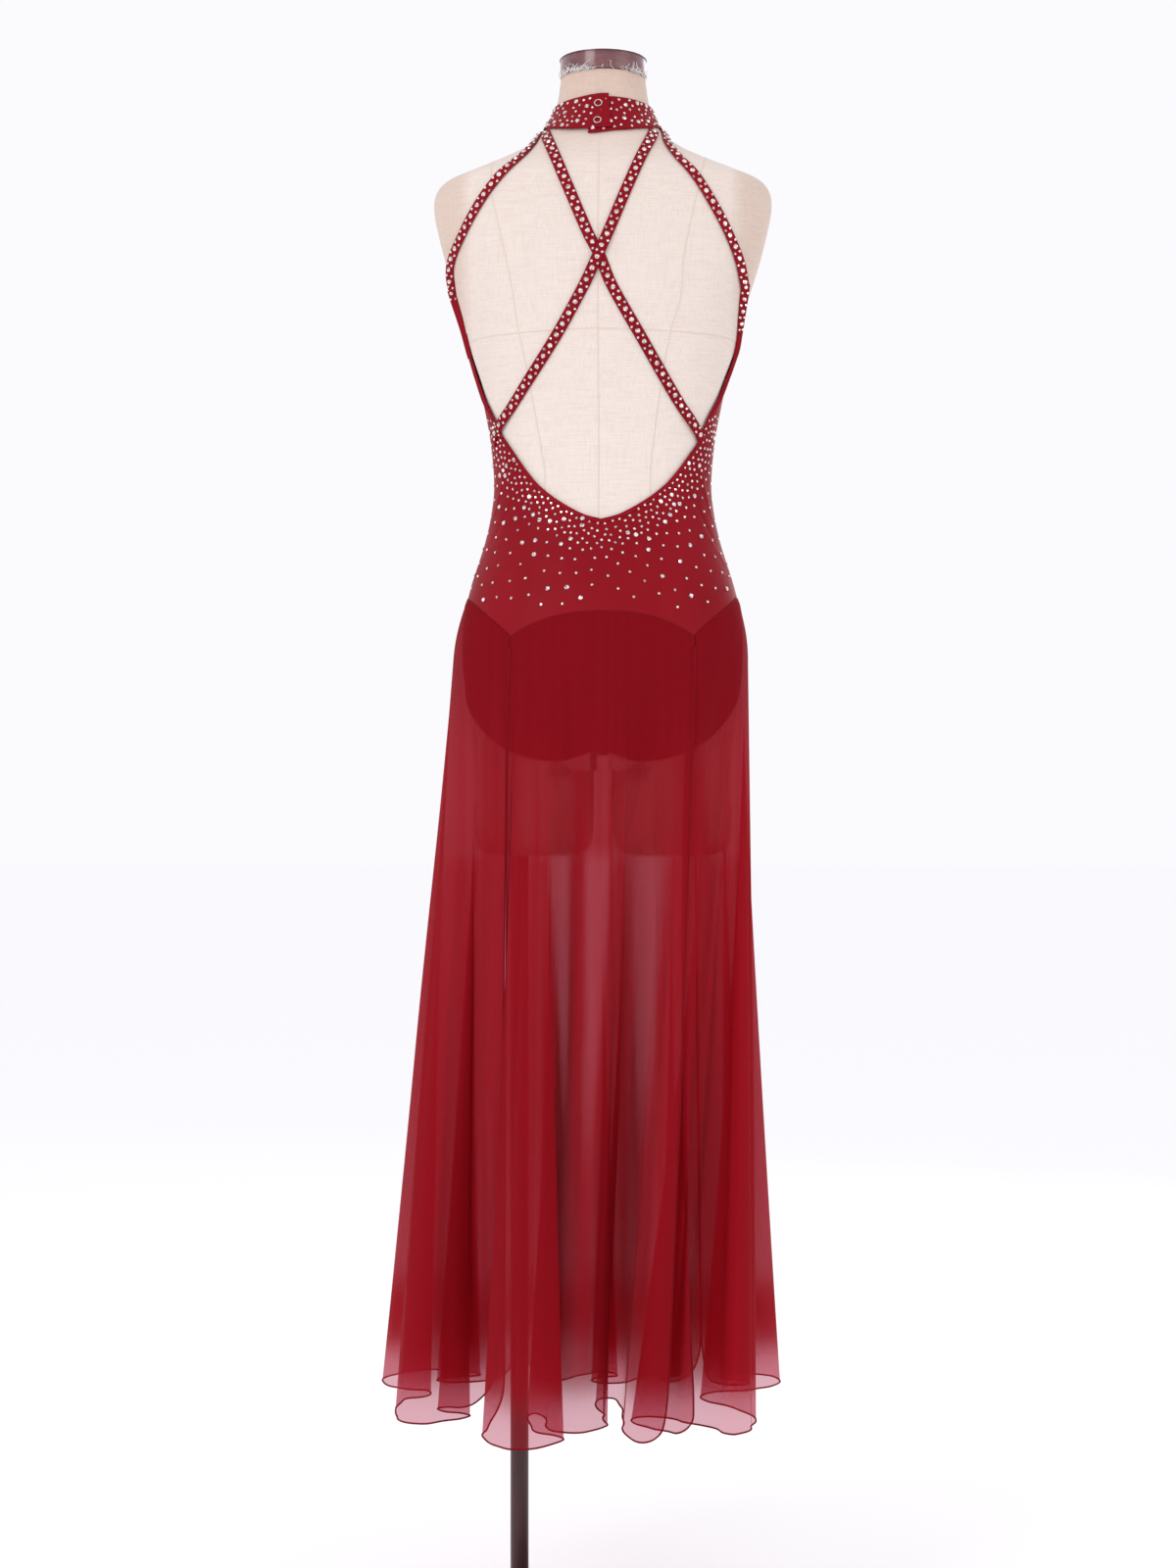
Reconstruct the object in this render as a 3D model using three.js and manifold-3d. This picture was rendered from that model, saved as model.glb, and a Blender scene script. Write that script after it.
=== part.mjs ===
// Lyrical dance dress on a limbless dress form.
// Millimetres. +Z up, the dress's front faces -Y and its open back faces +Y.
// The origin is the centre of the base plate's underside, below the form's centre line.

import * as THREE from 'three';
import { mergeVertices } from 'three/addons/utils/BufferGeometryUtils.js';
import Module from 'manifold-3d';

const wasm = await Module();
wasm.setup();

// ---- driving sizes -------------------------------------------------------------------

const SEAM_GAP = 0.3; // between cloth pieces that meet
const FORM_GAP = 1.3; // between the form and the cloth worn on it
const KNIT = 1.2; // stretch knit of the bodice, brief and straps
const CHIFFON = 1.0; // skirt cloth
const COLLAR_WALL = 1.6; // doubled band

const KNIT_MIDDLE = FORM_GAP + KNIT / 2;
const KNIT_OUTSIDE = FORM_GAP + KNIT;
const TRIM_MIDDLE = KNIT_OUTSIDE + SEAM_GAP + KNIT / 2;

const HEM_UP = 246; // height of the skirt's hem above the floor
const CORNER_RADIUS = 50; // rounded lower corners of the skirt panels
const CROTCH_UP = 971;
const LEG_SLOT = 20; // between the thigh stubs
const STUB_BOTTOM = 853;

const BASE = { radius: 190, thick: 6, edge: 1.5 };
const POLE = { radius: 10, across: 92, back: -14 };

// The form's level sections. half: half width, lean: how far the section's middle lies
// behind the centre line, back and front: depth from that middle, square: how boxy it is.
const SECTIONS = [
  { up: 1702, half: 46, lean: -12, back: 50, front: 50, square: 2.0 },
  { up: 1680, half: 49, lean: -11, back: 52, front: 52, square: 2.0 },
  { up: 1662, half: 53, lean: -9, back: 55, front: 56, square: 2.0 },
  { up: 1646, half: 61, lean: -7, back: 60, front: 61, square: 2.0 },
  { up: 1634, half: 72, lean: -5, back: 64, front: 67, square: 2.0 },
  { up: 1621, half: 90, lean: -3, back: 68, front: 74, square: 2.05 },
  { up: 1609, half: 116, lean: -2, back: 73, front: 80, square: 2.1 },
  { up: 1597, half: 146, lean: -1, back: 78, front: 87, square: 2.15 },
  { up: 1586, half: 171, lean: 0, back: 81, front: 92, square: 2.2 },
  { up: 1573, half: 182, lean: 0, back: 84, front: 97, square: 2.2 },
  { up: 1555, half: 184, lean: 0, back: 88, front: 102, square: 2.25 },
  { up: 1528, half: 179, lean: 0, back: 92, front: 109, square: 2.3 },
  { up: 1497, half: 171, lean: 0, back: 95, front: 117, square: 2.3 },
  { up: 1465, half: 161, lean: 0, back: 96, front: 124, square: 2.3 },
  { up: 1433, half: 151, lean: 0, back: 94, front: 126, square: 2.3 },
  { up: 1401, half: 143, lean: 0, back: 90, front: 119, square: 2.3 },
  { up: 1369, half: 133, lean: 0, back: 86, front: 108, square: 2.3 },
  { up: 1337, half: 126, lean: 0, back: 81, front: 99, square: 2.3 },
  { up: 1304, half: 120, lean: 0, back: 77, front: 92, square: 2.25 },
  { up: 1256, half: 116, lean: 0, back: 76, front: 88, square: 2.2 },
  { up: 1224, half: 119, lean: 0, back: 81, front: 90, square: 2.2 },
  { up: 1192, half: 126, lean: 0, back: 90, front: 93, square: 2.2 },
  { up: 1160, half: 136, lean: 0, back: 101, front: 96, square: 2.25 },
  { up: 1128, half: 145, lean: 0, back: 111, front: 98, square: 2.3 },
  { up: 1096, half: 150, lean: 0, back: 117, front: 99, square: 2.3 },
  { up: 1060, half: 150, lean: 0, back: 118, front: 98, square: 2.35 },
  { up: 1030, half: 147, lean: 0, back: 114, front: 97, square: 2.4 },
  { up: 1000, half: 145, lean: 0, back: 107, front: 95, square: 2.45 },
  { up: 970, half: 143, lean: 0, back: 100, front: 93, square: 2.5 },
  { up: 945, half: 141, lean: 0, back: 95, front: 90, square: 2.5 },
];

// The thigh stubs' level sections: inner and outer face across, and half depth.
const STUB_SECTIONS = [
  { up: 950, inner: 14, outer: 134, deep: 76 },
  { up: 934, inner: 10, outer: 141, deep: 82 },
  { up: 900, inner: 10, outer: 141, deep: 81 },
  { up: 872, inner: 11, outer: 140, deep: 79 },
  { up: 860, inner: 16, outer: 135, deep: 74 },
  { up: STUB_BOTTOM, inner: 32, outer: 119, deep: 57 },
];

// The skirt seam's low points, where the panels' free edges start.
const BACK_POINT_LEFT = { across: 92, up: 1084 };
const BACK_POINT_RIGHT = { across: -100, up: 1084 };
const FRONT_POINT = { across: 95, up: 1086 };
const BACK_ARCH_UP = 1111; // the seam's top at centre back
const FRONT_ARCH_UP = 1112;
const SIDE_SEAM_UP = 1131; // the skirt seam at the sides

// The skirt's hem in plan, a row for each ridge, valley and turn of its folds, from one
// free edge of the panel to the other. across is +X, back is +Y.
const BACK_HEM = [
  { fold: 'edge', across: 103, back: 62 },
  { fold: 'turn', across: 117, back: 88 },
  { fold: 'turn', across: 122, back: 128 },
  { fold: 'ridge', across: 110, back: 170 },
  { fold: 'ridge', across: 88, back: 190 },
  { fold: 'ridge', across: 64, back: 186 },
  { fold: 'turn', across: 44, back: 164 },
  { fold: 'turn', across: 35, back: 142 },
  { fold: 'turn', across: 46, back: 126 },
  { fold: 'turn', across: 64, back: 112 },
  { fold: 'valley', across: 73, back: 78 },
  { fold: 'valley', across: 79, back: 38 },
  { fold: 'valley', across: 73, back: 18 },
  { fold: 'valley', across: 61, back: 38 },
  { fold: 'turn', across: 58, back: 78 },
  { fold: 'ridge', across: 48, back: 106 },
  { fold: 'ridge', across: 30, back: 112 },
  { fold: 'ridge', across: 11, back: 107 },
  { fold: 'turn', across: -5, back: 80 },
  { fold: 'valley', across: -2, back: 30 },
  { fold: 'valley', across: 8, back: -20 },
  { fold: 'valley', across: 6, back: -58 },
  { fold: 'valley', across: -8, back: -62 },
  { fold: 'valley', across: -18, back: -20 },
  { fold: 'turn', across: -23, back: 40 },
  { fold: 'turn', across: -25, back: 95 },
  { fold: 'ridge', across: -36, back: 140 },
  { fold: 'ridge', across: -52, back: 158 },
  { fold: 'ridge', across: -66, back: 150 },
  { fold: 'edge', across: -72, back: 128 },
];
const LEFT_HEM = [
  { fold: 'edge', across: 118, back: -10 },
  { fold: 'turn', across: 144, back: -9 },
  { fold: 'turn', across: 168, back: -13 },
  { fold: 'turn', across: 181, back: -3 },
  { fold: 'turn', across: 172, back: 13 },
  { fold: 'turn', across: 153, back: 20 },
  { fold: 'turn', across: 142, back: 32 },
  { fold: 'turn', across: 150, back: 46 },
  { fold: 'ridge', across: 166, back: 58 },
  { fold: 'ridge', across: 184, back: 76 },
  { fold: 'ridge', across: 206, back: 70 },
  { fold: 'ridge', across: 222, back: 34 },
  { fold: 'turn', across: 226, back: -10 },
  { fold: 'turn', across: 220, back: -48 },
  { fold: 'valley', across: 200, back: -78 },
  { fold: 'valley', across: 204, back: -100 },
  { fold: 'turn', across: 228, back: -110 },
  { fold: 'ridge', across: 252, back: -132 },
  { fold: 'ridge', across: 261, back: -160 },
  { fold: 'ridge', across: 246, back: -190 },
  { fold: 'turn', across: 218, back: -206 },
  { fold: 'ridge', across: 186, back: -208 },
  { fold: 'turn', across: 158, back: -200 },
  { fold: 'turn', across: 150, back: -186 },
  { fold: 'turn', across: 168, back: -176 },
  { fold: 'turn', across: 192, back: -170 },
  { fold: 'valley', across: 198, back: -154 },
  { fold: 'valley', across: 178, back: -144 },
  { fold: 'turn', across: 150, back: -150 },
  { fold: 'turn', across: 128, back: -168 },
  { fold: 'edge', across: 106, back: -208 },
];
const RIGHT_HEM = [
  { fold: 'edge', across: -112, back: 98 },
  { fold: 'turn', across: -107, back: 113 },
  { fold: 'ridge', across: -93, back: 118 },
  { fold: 'turn', across: -76, back: 106 },
  { fold: 'valley', across: -56, back: 88 },
  { fold: 'valley', across: -38, back: 66 },
  { fold: 'valley', across: -36, back: 44 },
  { fold: 'valley', across: -50, back: 26 },
  { fold: 'turn', across: -70, back: 32 },
  { fold: 'turn', across: -88, back: 56 },
  { fold: 'turn', across: -106, back: 68 },
  { fold: 'turn', across: -121, back: 84 },
  { fold: 'ridge', across: -130, back: 106 },
  { fold: 'ridge', across: -144, back: 114 },
  { fold: 'ridge', across: -160, back: 96 },
  { fold: 'turn', across: -168, back: 62 },
  { fold: 'turn', across: -160, back: 16 },
  { fold: 'valley', across: -138, back: -28 },
  { fold: 'valley', across: -114, back: -52 },
  { fold: 'valley', across: -106, back: -78 },
  { fold: 'turn', across: -122, back: -104 },
  { fold: 'turn', across: -152, back: -112 },
  { fold: 'ridge', across: -182, back: -132 },
  { fold: 'ridge', across: -196, back: -164 },
  { fold: 'turn', across: -186, back: -196 },
  { fold: 'ridge', across: -162, back: -206 },
  { fold: 'turn', across: -138, back: -200 },
  { fold: 'turn', across: -130, back: -186 },
  { fold: 'turn', across: -144, back: -174 },
  { fold: 'turn', across: -160, back: -164 },
  { fold: 'valley', across: -158, back: -148 },
  { fold: 'valley', across: -138, back: -142 },
  { fold: 'turn', across: -120, back: -160 },
  { fold: 'edge', across: -106, back: -208 },
];
const FRONT_HEM = [
  { fold: 'edge', across: 106, back: -186 },
  { fold: 'turn', across: 90, back: -202 },
  { fold: 'ridge', across: 72, back: -212 },
  { fold: 'turn', across: 58, back: -202 },
  { fold: 'turn', across: 66, back: -190 },
  { fold: 'turn', across: 86, back: -178 },
  { fold: 'valley', across: 88, back: -162 },
  { fold: 'valley', across: 72, back: -154 },
  { fold: 'turn', across: 52, back: -164 },
  { fold: 'ridge', across: 36, back: -190 },
  { fold: 'ridge', across: 16, back: -206 },
  { fold: 'turn', across: -4, back: -200 },
  { fold: 'turn', across: -8, back: -188 },
  { fold: 'turn', across: 12, back: -178 },
  { fold: 'valley', across: 20, back: -160 },
  { fold: 'valley', across: 8, back: -146 },
  { fold: 'valley', across: -14, back: -150 },
  { fold: 'turn', across: -30, back: -176 },
  { fold: 'ridge', across: -48, back: -200 },
  { fold: 'ridge', across: -70, back: -212 },
  { fold: 'turn', across: -86, back: -202 },
  { fold: 'turn', across: -80, back: -190 },
  { fold: 'turn', across: -62, back: -180 },
  { fold: 'valley', across: -58, back: -166 },
  { fold: 'valley', across: -72, back: -158 },
  { fold: 'turn', across: -92, back: -166 },
  { fold: 'edge', across: -106, back: -186 },
];

// The skirt's overall spread at the hem, which the ridges follow down from the hips.
const SPREAD = { middle: 32, half: 226, back: 170, front: 205 };
const FOLD_GROWTH = 1.3; // how late the folds open below the seam
const EDGE_GROWTH = 2.4; // and at the free edges, which hang closed for longer
const EDGE_REACH = 60; // how far in from a free edge that goes

// Straps on the form's back, from the collar down: how far across each one's middle lies.
// under and over are the crossing pair, left and right the pair round the shoulder blades.
const CROSS_STRAP_WIDTH = 12;
const CROSS_STRAPS = [
  { up: 1633.2, under: 60, over: -56 },
  { up: 1624, under: 57, over: -54 },
  { up: 1606, under: 50, over: -47 },
  { up: 1560, under: 31, over: -28 },
  { up: 1513, under: 11, over: -9 },
  { up: 1490, under: -1, over: 1 },
  { up: 1460, under: -13, over: 15 },
  { up: 1404, under: -45, over: 47 },
  { up: 1344, under: -80, over: 88 },
  { up: 1310, under: -102, over: 112 },
];
const CROSSING_UP = 1491;
const SIDE_STRAP_WIDTH = 11;
const SIDE_STRAPS = [
  { up: 1638.4, left: 67, right: -66 },
  { up: 1630, left: 70, right: -69 },
  { up: 1619, left: 74, right: -72 },
  { up: 1608, left: 81, right: -78 },
  { up: 1597, left: 91, right: -86 },
  { up: 1580, left: 108, right: -101 },
  { up: 1555, left: 127, right: -117 },
  { up: 1520, left: 148, right: -136 },
  { up: 1492, left: 161, right: -147 },
  { up: 1466, left: 160, right: -152 },
];

// The back opening's edge, from the strap joint down to its point, measured either way
// from the opening's middle.
const OPENING_MIDDLE = -2;
const OPENING_EDGE = [
  { across: 105, up: 1303 },
  { across: 91, up: 1282 },
  { across: 80, up: 1266 },
  { across: 66, up: 1249 },
  { across: 47, up: 1233 },
  { across: 20, up: 1217 },
  { across: 0, up: 1211 },
];

// ---- small helpers -------------------------------------------------------------------

const rad = (degrees) => (degrees * Math.PI) / 180;
const mix = (a, b, share) => a + (b - a) * share;
const clamp01 = (value) => Math.min(1, Math.max(0, value));
const smooth = (value) => clamp01(value) ** 2 * (3 - 2 * clamp01(value));
const signedPower = (value, power) => Math.sign(value) * Math.abs(value) ** power;

// A value read between table rows on a smooth curve through them.
function between(rows, key, at, column) {
  const rising = rows[rows.length - 1][key] > rows[0][key];
  let i = 0;
  while (i < rows.length - 2 && (rising ? at > rows[i + 1][key] : at < rows[i + 1][key])) i += 1;
  const low = rows[i];
  const high = rows[i + 1];
  const before = rows[Math.max(0, i - 1)];
  const after = rows[Math.min(rows.length - 1, i + 2)];
  const span = high[key] - low[key];
  const share = clamp01((at - low[key]) / span);
  const slope = (a, b) => ((b[column] - a[column]) / (b[key] - a[key])) * span;
  const inSlope = slope(before, high);
  const outSlope = slope(low, after);
  const s2 = share * share;
  const s3 = s2 * share;
  return (2 * s3 - 3 * s2 + 1) * low[column] + (s3 - 2 * s2 + share) * inSlope
    + (3 * s2 - 2 * s3) * high[column] + (s3 - s2) * outSlope;
}

// ---- the form's surface --------------------------------------------------------------
// turn: degrees round the form from centre back (0) by the wearer's left (90, +X) to
// centre front (180). proud: how far outside the form's skin.

function sectionAt(up) {
  const section = {};
  for (const column of ['half', 'lean', 'back', 'front', 'square']) {
    section[column] = between(SECTIONS, 'up', up, column);
  }
  return section;
}

function onSection(section, turn, up) {
  const power = 2 / section.square;
  const side = Math.sin(rad(turn));
  const ahead = Math.cos(rad(turn));
  const depth = ahead >= 0 ? section.back : section.front;
  return new THREE.Vector3(
    section.half * signedPower(side, power),
    section.lean + depth * signedPower(ahead, power),
    up,
  );
}

function formPoint(turn, up, proud = 0) {
  const point = onSection(sectionAt(up), turn, up);
  if (proud === 0) return point;
  const step = 2;
  const aside = onSection(sectionAt(up), turn + step, up);
  const asideBack = onSection(sectionAt(up), turn - step, up);
  const above = onSection(sectionAt(up + step), turn, up + step);
  const below = onSection(sectionAt(up - step), turn, up - step);
  const normal = aside.sub(asideBack).cross(above.sub(below)).negate().normalize();
  return point.addScaledVector(normal, proud);
}

// The turn of the point on the form's back (or front) that lies a given distance across.
function turnAcross(across, up, front = false) {
  const section = sectionAt(up);
  const share = Math.min(1, Math.abs(across) / section.half);
  const angle = THREE.MathUtils.radToDeg(Math.asin(share ** (section.square / 2)));
  return Math.sign(across) * (front ? 180 - angle : angle);
}

// ---- closed solids from grids ---------------------------------------------------------

// A body from its points and its triangles.
function solidFrom(positions, triangles) {
  const geometry = new THREE.BufferGeometry();
  geometry.setAttribute('position', new THREE.Float32BufferAttribute(positions, 3));
  geometry.setIndex(triangles);
  geometry.computeVertexNormals();
  return geometry;
}

// Rings stacked from the top down, closed with a fan at both ends.
function ringStack(rings) {
  const count = rings[0].length;
  const positions = [];
  const triangles = [];
  for (const ring of rings) for (const p of ring) positions.push(p.x, p.y, p.z);
  for (let r = 0; r < rings.length - 1; r += 1) {
    for (let i = 0; i < count; i += 1) {
      const a = r * count + i;
      const b = r * count + ((i + 1) % count);
      triangles.push(a, b, a + count, b, b + count, a + count);
    }
  }
  for (const [ring, flip] of [[0, false], [rings.length - 1, true]]) {
    const middle = new THREE.Vector3();
    for (const p of rings[ring]) middle.addScaledVector(p, 1 / count);
    const centre = positions.length / 3;
    positions.push(middle.x, middle.y, middle.z);
    for (let i = 0; i < count; i += 1) {
      const a = ring * count + i;
      const b = ring * count + ((i + 1) % count);
      if (flip) triangles.push(centre, a, b);
      else triangles.push(centre, b, a);
    }
  }
  return facingOut(solidFrom(positions, triangles));
}

function facingOut(geometry) {
  const position = geometry.attributes.position;
  const index = geometry.index.array;
  let volume = 0;
  const a = new THREE.Vector3();
  const b = new THREE.Vector3();
  const c = new THREE.Vector3();
  for (let i = 0; i < index.length; i += 3) {
    a.fromBufferAttribute(position, index[i]);
    b.fromBufferAttribute(position, index[i + 1]);
    c.fromBufferAttribute(position, index[i + 2]);
    volume += a.dot(b.cross(c));
  }
  if (volume < 0) {
    const turned = [];
    for (let i = 0; i < index.length; i += 3) turned.push(index[i], index[i + 2], index[i + 1]);
    geometry.setIndex(turned);
    geometry.computeVertexNormals();
  }
  return geometry;
}

// A wall of cloth: grid[row][column] is its middle surface, thickness is measured square
// to it, and its four edges are closed.
function clothWall(grid, thickness) {
  const rows = grid.length;
  const columns = grid[0].length;
  const positions = [];
  const normalAt = (r, c) => {
    const along = grid[r][Math.min(columns - 1, c + 1)].clone().sub(grid[r][Math.max(0, c - 1)]);
    const down = grid[Math.min(rows - 1, r + 1)][c].clone().sub(grid[Math.max(0, r - 1)][c]);
    return along.cross(down).normalize();
  };
  for (const side of [0.5, -0.5]) {
    for (let r = 0; r < rows; r += 1) {
      for (let c = 0; c < columns; c += 1) {
        const p = grid[r][c].clone().addScaledVector(normalAt(r, c), side * thickness);
        positions.push(p.x, p.y, p.z);
      }
    }
  }
  const triangles = [];
  const sheet = rows * columns;
  for (let r = 0; r < rows - 1; r += 1) {
    for (let c = 0; c < columns - 1; c += 1) {
      const a = r * columns + c;
      const b = a + 1;
      const d = a + columns;
      const e = d + 1;
      triangles.push(a, b, d, b, e, d);
      triangles.push(sheet + a, sheet + d, sheet + b, sheet + b, sheet + d, sheet + e);
    }
  }
  const rim = [];
  for (let c = 0; c < columns - 1; c += 1) rim.push(c);
  for (let r = 0; r < rows - 1; r += 1) rim.push(r * columns + columns - 1);
  for (let c = columns - 1; c > 0; c -= 1) rim.push((rows - 1) * columns + c);
  for (let r = rows - 1; r > 0; r -= 1) rim.push(r * columns);
  for (let i = 0; i < rim.length; i += 1) {
    const a = rim[i];
    const b = rim[(i + 1) % rim.length];
    triangles.push(a, sheet + a, b, b, sheet + a, sheet + b);
  }
  return facingOut(solidFrom(positions, triangles));
}

// A flat strap along a path on the form. path: points with their own outward normals.
function strapAlong(path, width, thickness) {
  const grid = [[], []];
  for (let i = 0; i < path.length; i += 1) {
    const ahead = path[Math.min(path.length - 1, i + 1)].point.clone()
      .sub(path[Math.max(0, i - 1)].point).normalize();
    const side = ahead.cross(path[i].normal).normalize();
    for (const [row, share] of [[0, -0.5], [1, 0.5]]) {
      grid[row].push(path[i].point.clone().addScaledVector(side, share * width));
    }
  }
  return clothWall(grid, thickness);
}

function toManifold(geometry) {
  const bare = new THREE.BufferGeometry();
  bare.setAttribute('position', geometry.attributes.position.clone());
  if (geometry.index) bare.setIndex(geometry.index.clone());
  const merged = mergeVertices(bare, 1e-4);
  return new wasm.Manifold(new wasm.Mesh({
    numProp: 3,
    vertProperties: new Float32Array(merged.attributes.position.array),
    triVerts: new Uint32Array(merged.index.array),
  }));
}

function fromManifold(solid) {
  const mesh = solid.getMesh();
  return solidFrom(Array.from(mesh.vertProperties), Array.from(mesh.triVerts));
}

// ---- finishes ------------------------------------------------------------------------

const finish = (color, roughness, metalness = 0) => new THREE.MeshStandardMaterial({
  color, roughness, metalness, side: THREE.DoubleSide,
});
const RED_KNIT = finish(0x98192a, 0.55);
const RED_CHIFFON = finish(0xa32235, 0.8);
const LINEN = finish(0xe2d3c4, 0.9);
const PLUM_GLOSS = finish(0x6f4146, 0.3);
const DARK_METAL = finish(0x4b2c2f, 0.4, 0.4);
const SILVER = finish(0xc8c4c2, 0.25, 1);

const dress = new THREE.Group();

function add(name, geometry, material) {
  const mesh = new THREE.Mesh(geometry, material);
  mesh.name = name;
  dress.add(mesh);
}

// ---- dress form ----------------------------------------------------------------------

const FORM_SEGMENTS = 36;
const FINE_ABOVE = 1420; // where the form curves most, its rings lie twice as close

function formBody() {
  const turns = Array.from({ length: FORM_SEGMENTS }, (_, i) => (i * 360) / FORM_SEGMENTS);
  const levels = [];
  SECTIONS.forEach(({ up }, i) => {
    if (i > 0 && up > FINE_ABOVE) levels.push((SECTIONS[i - 1].up + up) / 2);
    levels.push(up);
  });
  const rings = levels.map((up) => turns.map((turn) => formPoint(turn, up)));
  let body = toManifold(ringStack(rings));
  const stubSegments = 20;
  for (const side of [1, -1]) {
    const stubRings = STUB_SECTIONS.map(({ up, inner, outer, deep }) => {
      const middle = (inner + outer) / 2;
      const half = (outer - inner) / 2;
      return Array.from({ length: stubSegments }, (_, i) => {
        const angle = (i * 2 * Math.PI) / stubSegments;
        return new THREE.Vector3(
          side * (middle + half * signedPower(Math.sin(angle), 0.85)),
          deep * signedPower(Math.cos(angle), 0.85),
          up,
        );
      });
    });
    body = body.add(toManifold(ringStack(stubRings)));
  }
  const slot = new THREE.Shape();
  const half = LEG_SLOT / 2;
  slot.moveTo(-half, 900);
  slot.lineTo(half, 900);
  slot.lineTo(half, CROTCH_UP - half);
  slot.absarc(0, CROTCH_UP - half, half, 0, Math.PI, false);
  slot.closePath();
  const slotDepth = 300;
  const cutter = new THREE.ExtrudeGeometry(slot, {
    depth: slotDepth, bevelEnabled: false, curveSegments: 8,
  });
  cutter.rotateX(Math.PI / 2);
  cutter.translate(0, slotDepth / 2, 0);
  return fromManifold(body.subtract(toManifold(cutter)));
}

function neckCap() {
  const { half, lean, back } = sectionAt(SECTIONS[0].up);
  const profile = [
    [0, 0], [0.96, 0], [1.02, 1.5], [1.02, 15], [0.985, 18], [0.9, 19.3], [0, 19.5],
  ].map(([r, z]) => new THREE.Vector2(r * half, z));
  const geometry = new THREE.LatheGeometry(profile, 24);
  geometry.rotateX(Math.PI / 2);
  geometry.scale(1, back / half, 1);
  geometry.translate(0, lean, SECTIONS[0].up + SEAM_GAP);
  return geometry;
}

function basePlate() {
  const { radius, thick, edge } = BASE;
  const profile = [
    [0, 0], [radius - edge, 0], [radius, edge], [radius, thick - edge],
    [radius - edge, thick], [0, thick],
  ].map(([r, z]) => new THREE.Vector2(r, z));
  const geometry = new THREE.LatheGeometry(profile, 36);
  geometry.rotateX(Math.PI / 2);
  return geometry;
}

function pole() {
  const bottom = BASE.thick + SEAM_GAP;
  const top = STUB_BOTTOM - SEAM_GAP;
  const geometry = new THREE.CylinderGeometry(POLE.radius, POLE.radius, top - bottom, 20);
  geometry.rotateX(Math.PI / 2);
  geometry.translate(POLE.across, POLE.back, (top + bottom) / 2);
  return geometry;
}

add('form_torso', formBody(), LINEN);
add('neck_cap', neckCap(), PLUM_GLOSS);
add('pole', pole(), DARK_METAL);
add('base_plate', basePlate(), DARK_METAL);

// ---- collar and its snaps --------------------------------------------------------------

const COLLAR_LOW = { back: 1629, side: 1643, front: 1614 };
const COLLAR_TOP = { back: 1670, side: 1667, front: 1656 };
const UNDER_END = 9; // degrees past centre back, under the other end
const OVER_END = -9;
const SNAP_TURN = 2.5;
const LIFT = 50; // degrees over which the upper end climbs onto the lower one

function roundEdge(edge, turn) {
  const ahead = Math.cos(rad(turn));
  const end = ahead >= 0 ? edge.back : edge.front;
  return mix(edge.side, end, ahead * ahead);
}

// The band runs from the under end by the right side and the front to the over end.
function collarPoint(along, share, proud) {
  const whole = 360 + UNDER_END - OVER_END;
  const turn = UNDER_END - along * whole;
  const past = whole * (1 - along);
  const climb = 1 - smooth((past - (UNDER_END - OVER_END)) / LIFT);
  const up = mix(roundEdge(COLLAR_LOW, turn), roundEdge(COLLAR_TOP, turn), share);
  return formPoint(turn, up, proud + climb * (COLLAR_WALL + SEAM_GAP));
}

function collar() {
  const columns = 48;
  const rows = 3;
  const grid = [];
  for (let r = 0; r < rows; r += 1) {
    const row = [];
    for (let c = 0; c <= columns; c += 1) {
      row.push(collarPoint(c / columns, r / (rows - 1), FORM_GAP + COLLAR_WALL / 2));
    }
    grid.push(row);
  }
  return clothWall(grid, COLLAR_WALL);
}

// Open ring snap, 9 mm across, set in the upper end of the band.
function snap(share) {
  const along = (360 + UNDER_END - SNAP_TURN) / (360 + UNDER_END - OVER_END);
  const outside = FORM_GAP + COLLAR_WALL + 2 * SEAM_GAP;
  const foot = collarPoint(along, share, outside);
  const normal = collarPoint(along, share, outside + 1).sub(foot).normalize();
  const profile = [
    [2.7, 0], [4.5, 0], [4.6, 0.4], [4.1, 0.9], [3.2, 0.9], [2.7, 0.5], [2.7, 0],
  ].map(([r, z]) => new THREE.Vector2(r, z));
  const geometry = new THREE.LatheGeometry(profile, 14);
  geometry.applyQuaternion(new THREE.Quaternion().setFromUnitVectors(
    new THREE.Vector3(0, 1, 0),
    normal,
  ));
  geometry.translate(foot.x, foot.y, foot.z);
  return geometry;
}

add('collar', collar(), RED_KNIT);
add('snap_upper', snap(0.7), SILVER);
add('snap_lower', snap(0.19), SILVER);

// ---- skirt seam ----------------------------------------------------------------------

// The seam's height at a turn: an arch at back and front, rising again to the sides.
const SEAM_TURNS = {
  backLeft: turnAcross(BACK_POINT_LEFT.across, BACK_POINT_LEFT.up),
  frontLeft: turnAcross(FRONT_POINT.across, FRONT_POINT.up, true),
  frontRight: 360 - turnAcross(FRONT_POINT.across, FRONT_POINT.up, true),
  backRight: 360 + turnAcross(BACK_POINT_RIGHT.across, BACK_POINT_RIGHT.up),
};

function seamUp(anyTurn) {
  const { backLeft, frontLeft, frontRight, backRight } = SEAM_TURNS;
  const turn = ((anyTurn % 360) + 360) % 360;
  const arch = (from, to, top, foot) => {
    const share = (turn - from) / (to - from);
    return mix(foot, top, Math.sin(Math.PI * clamp01(share)) ** 0.8);
  };
  if (turn <= backLeft) {
    return arch(backRight - 360, backLeft, BACK_ARCH_UP, BACK_POINT_LEFT.up);
  }
  if (turn >= backRight) {
    return arch(backRight, backLeft + 360, BACK_ARCH_UP, BACK_POINT_LEFT.up);
  }
  if (turn < frontLeft) return arch(backLeft, frontLeft, SIDE_SEAM_UP, BACK_POINT_LEFT.up);
  if (turn <= frontRight) return arch(frontLeft, frontRight, FRONT_ARCH_UP, FRONT_POINT.up);
  return arch(frontRight, backRight, SIDE_SEAM_UP, BACK_POINT_RIGHT.up);
}

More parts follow.
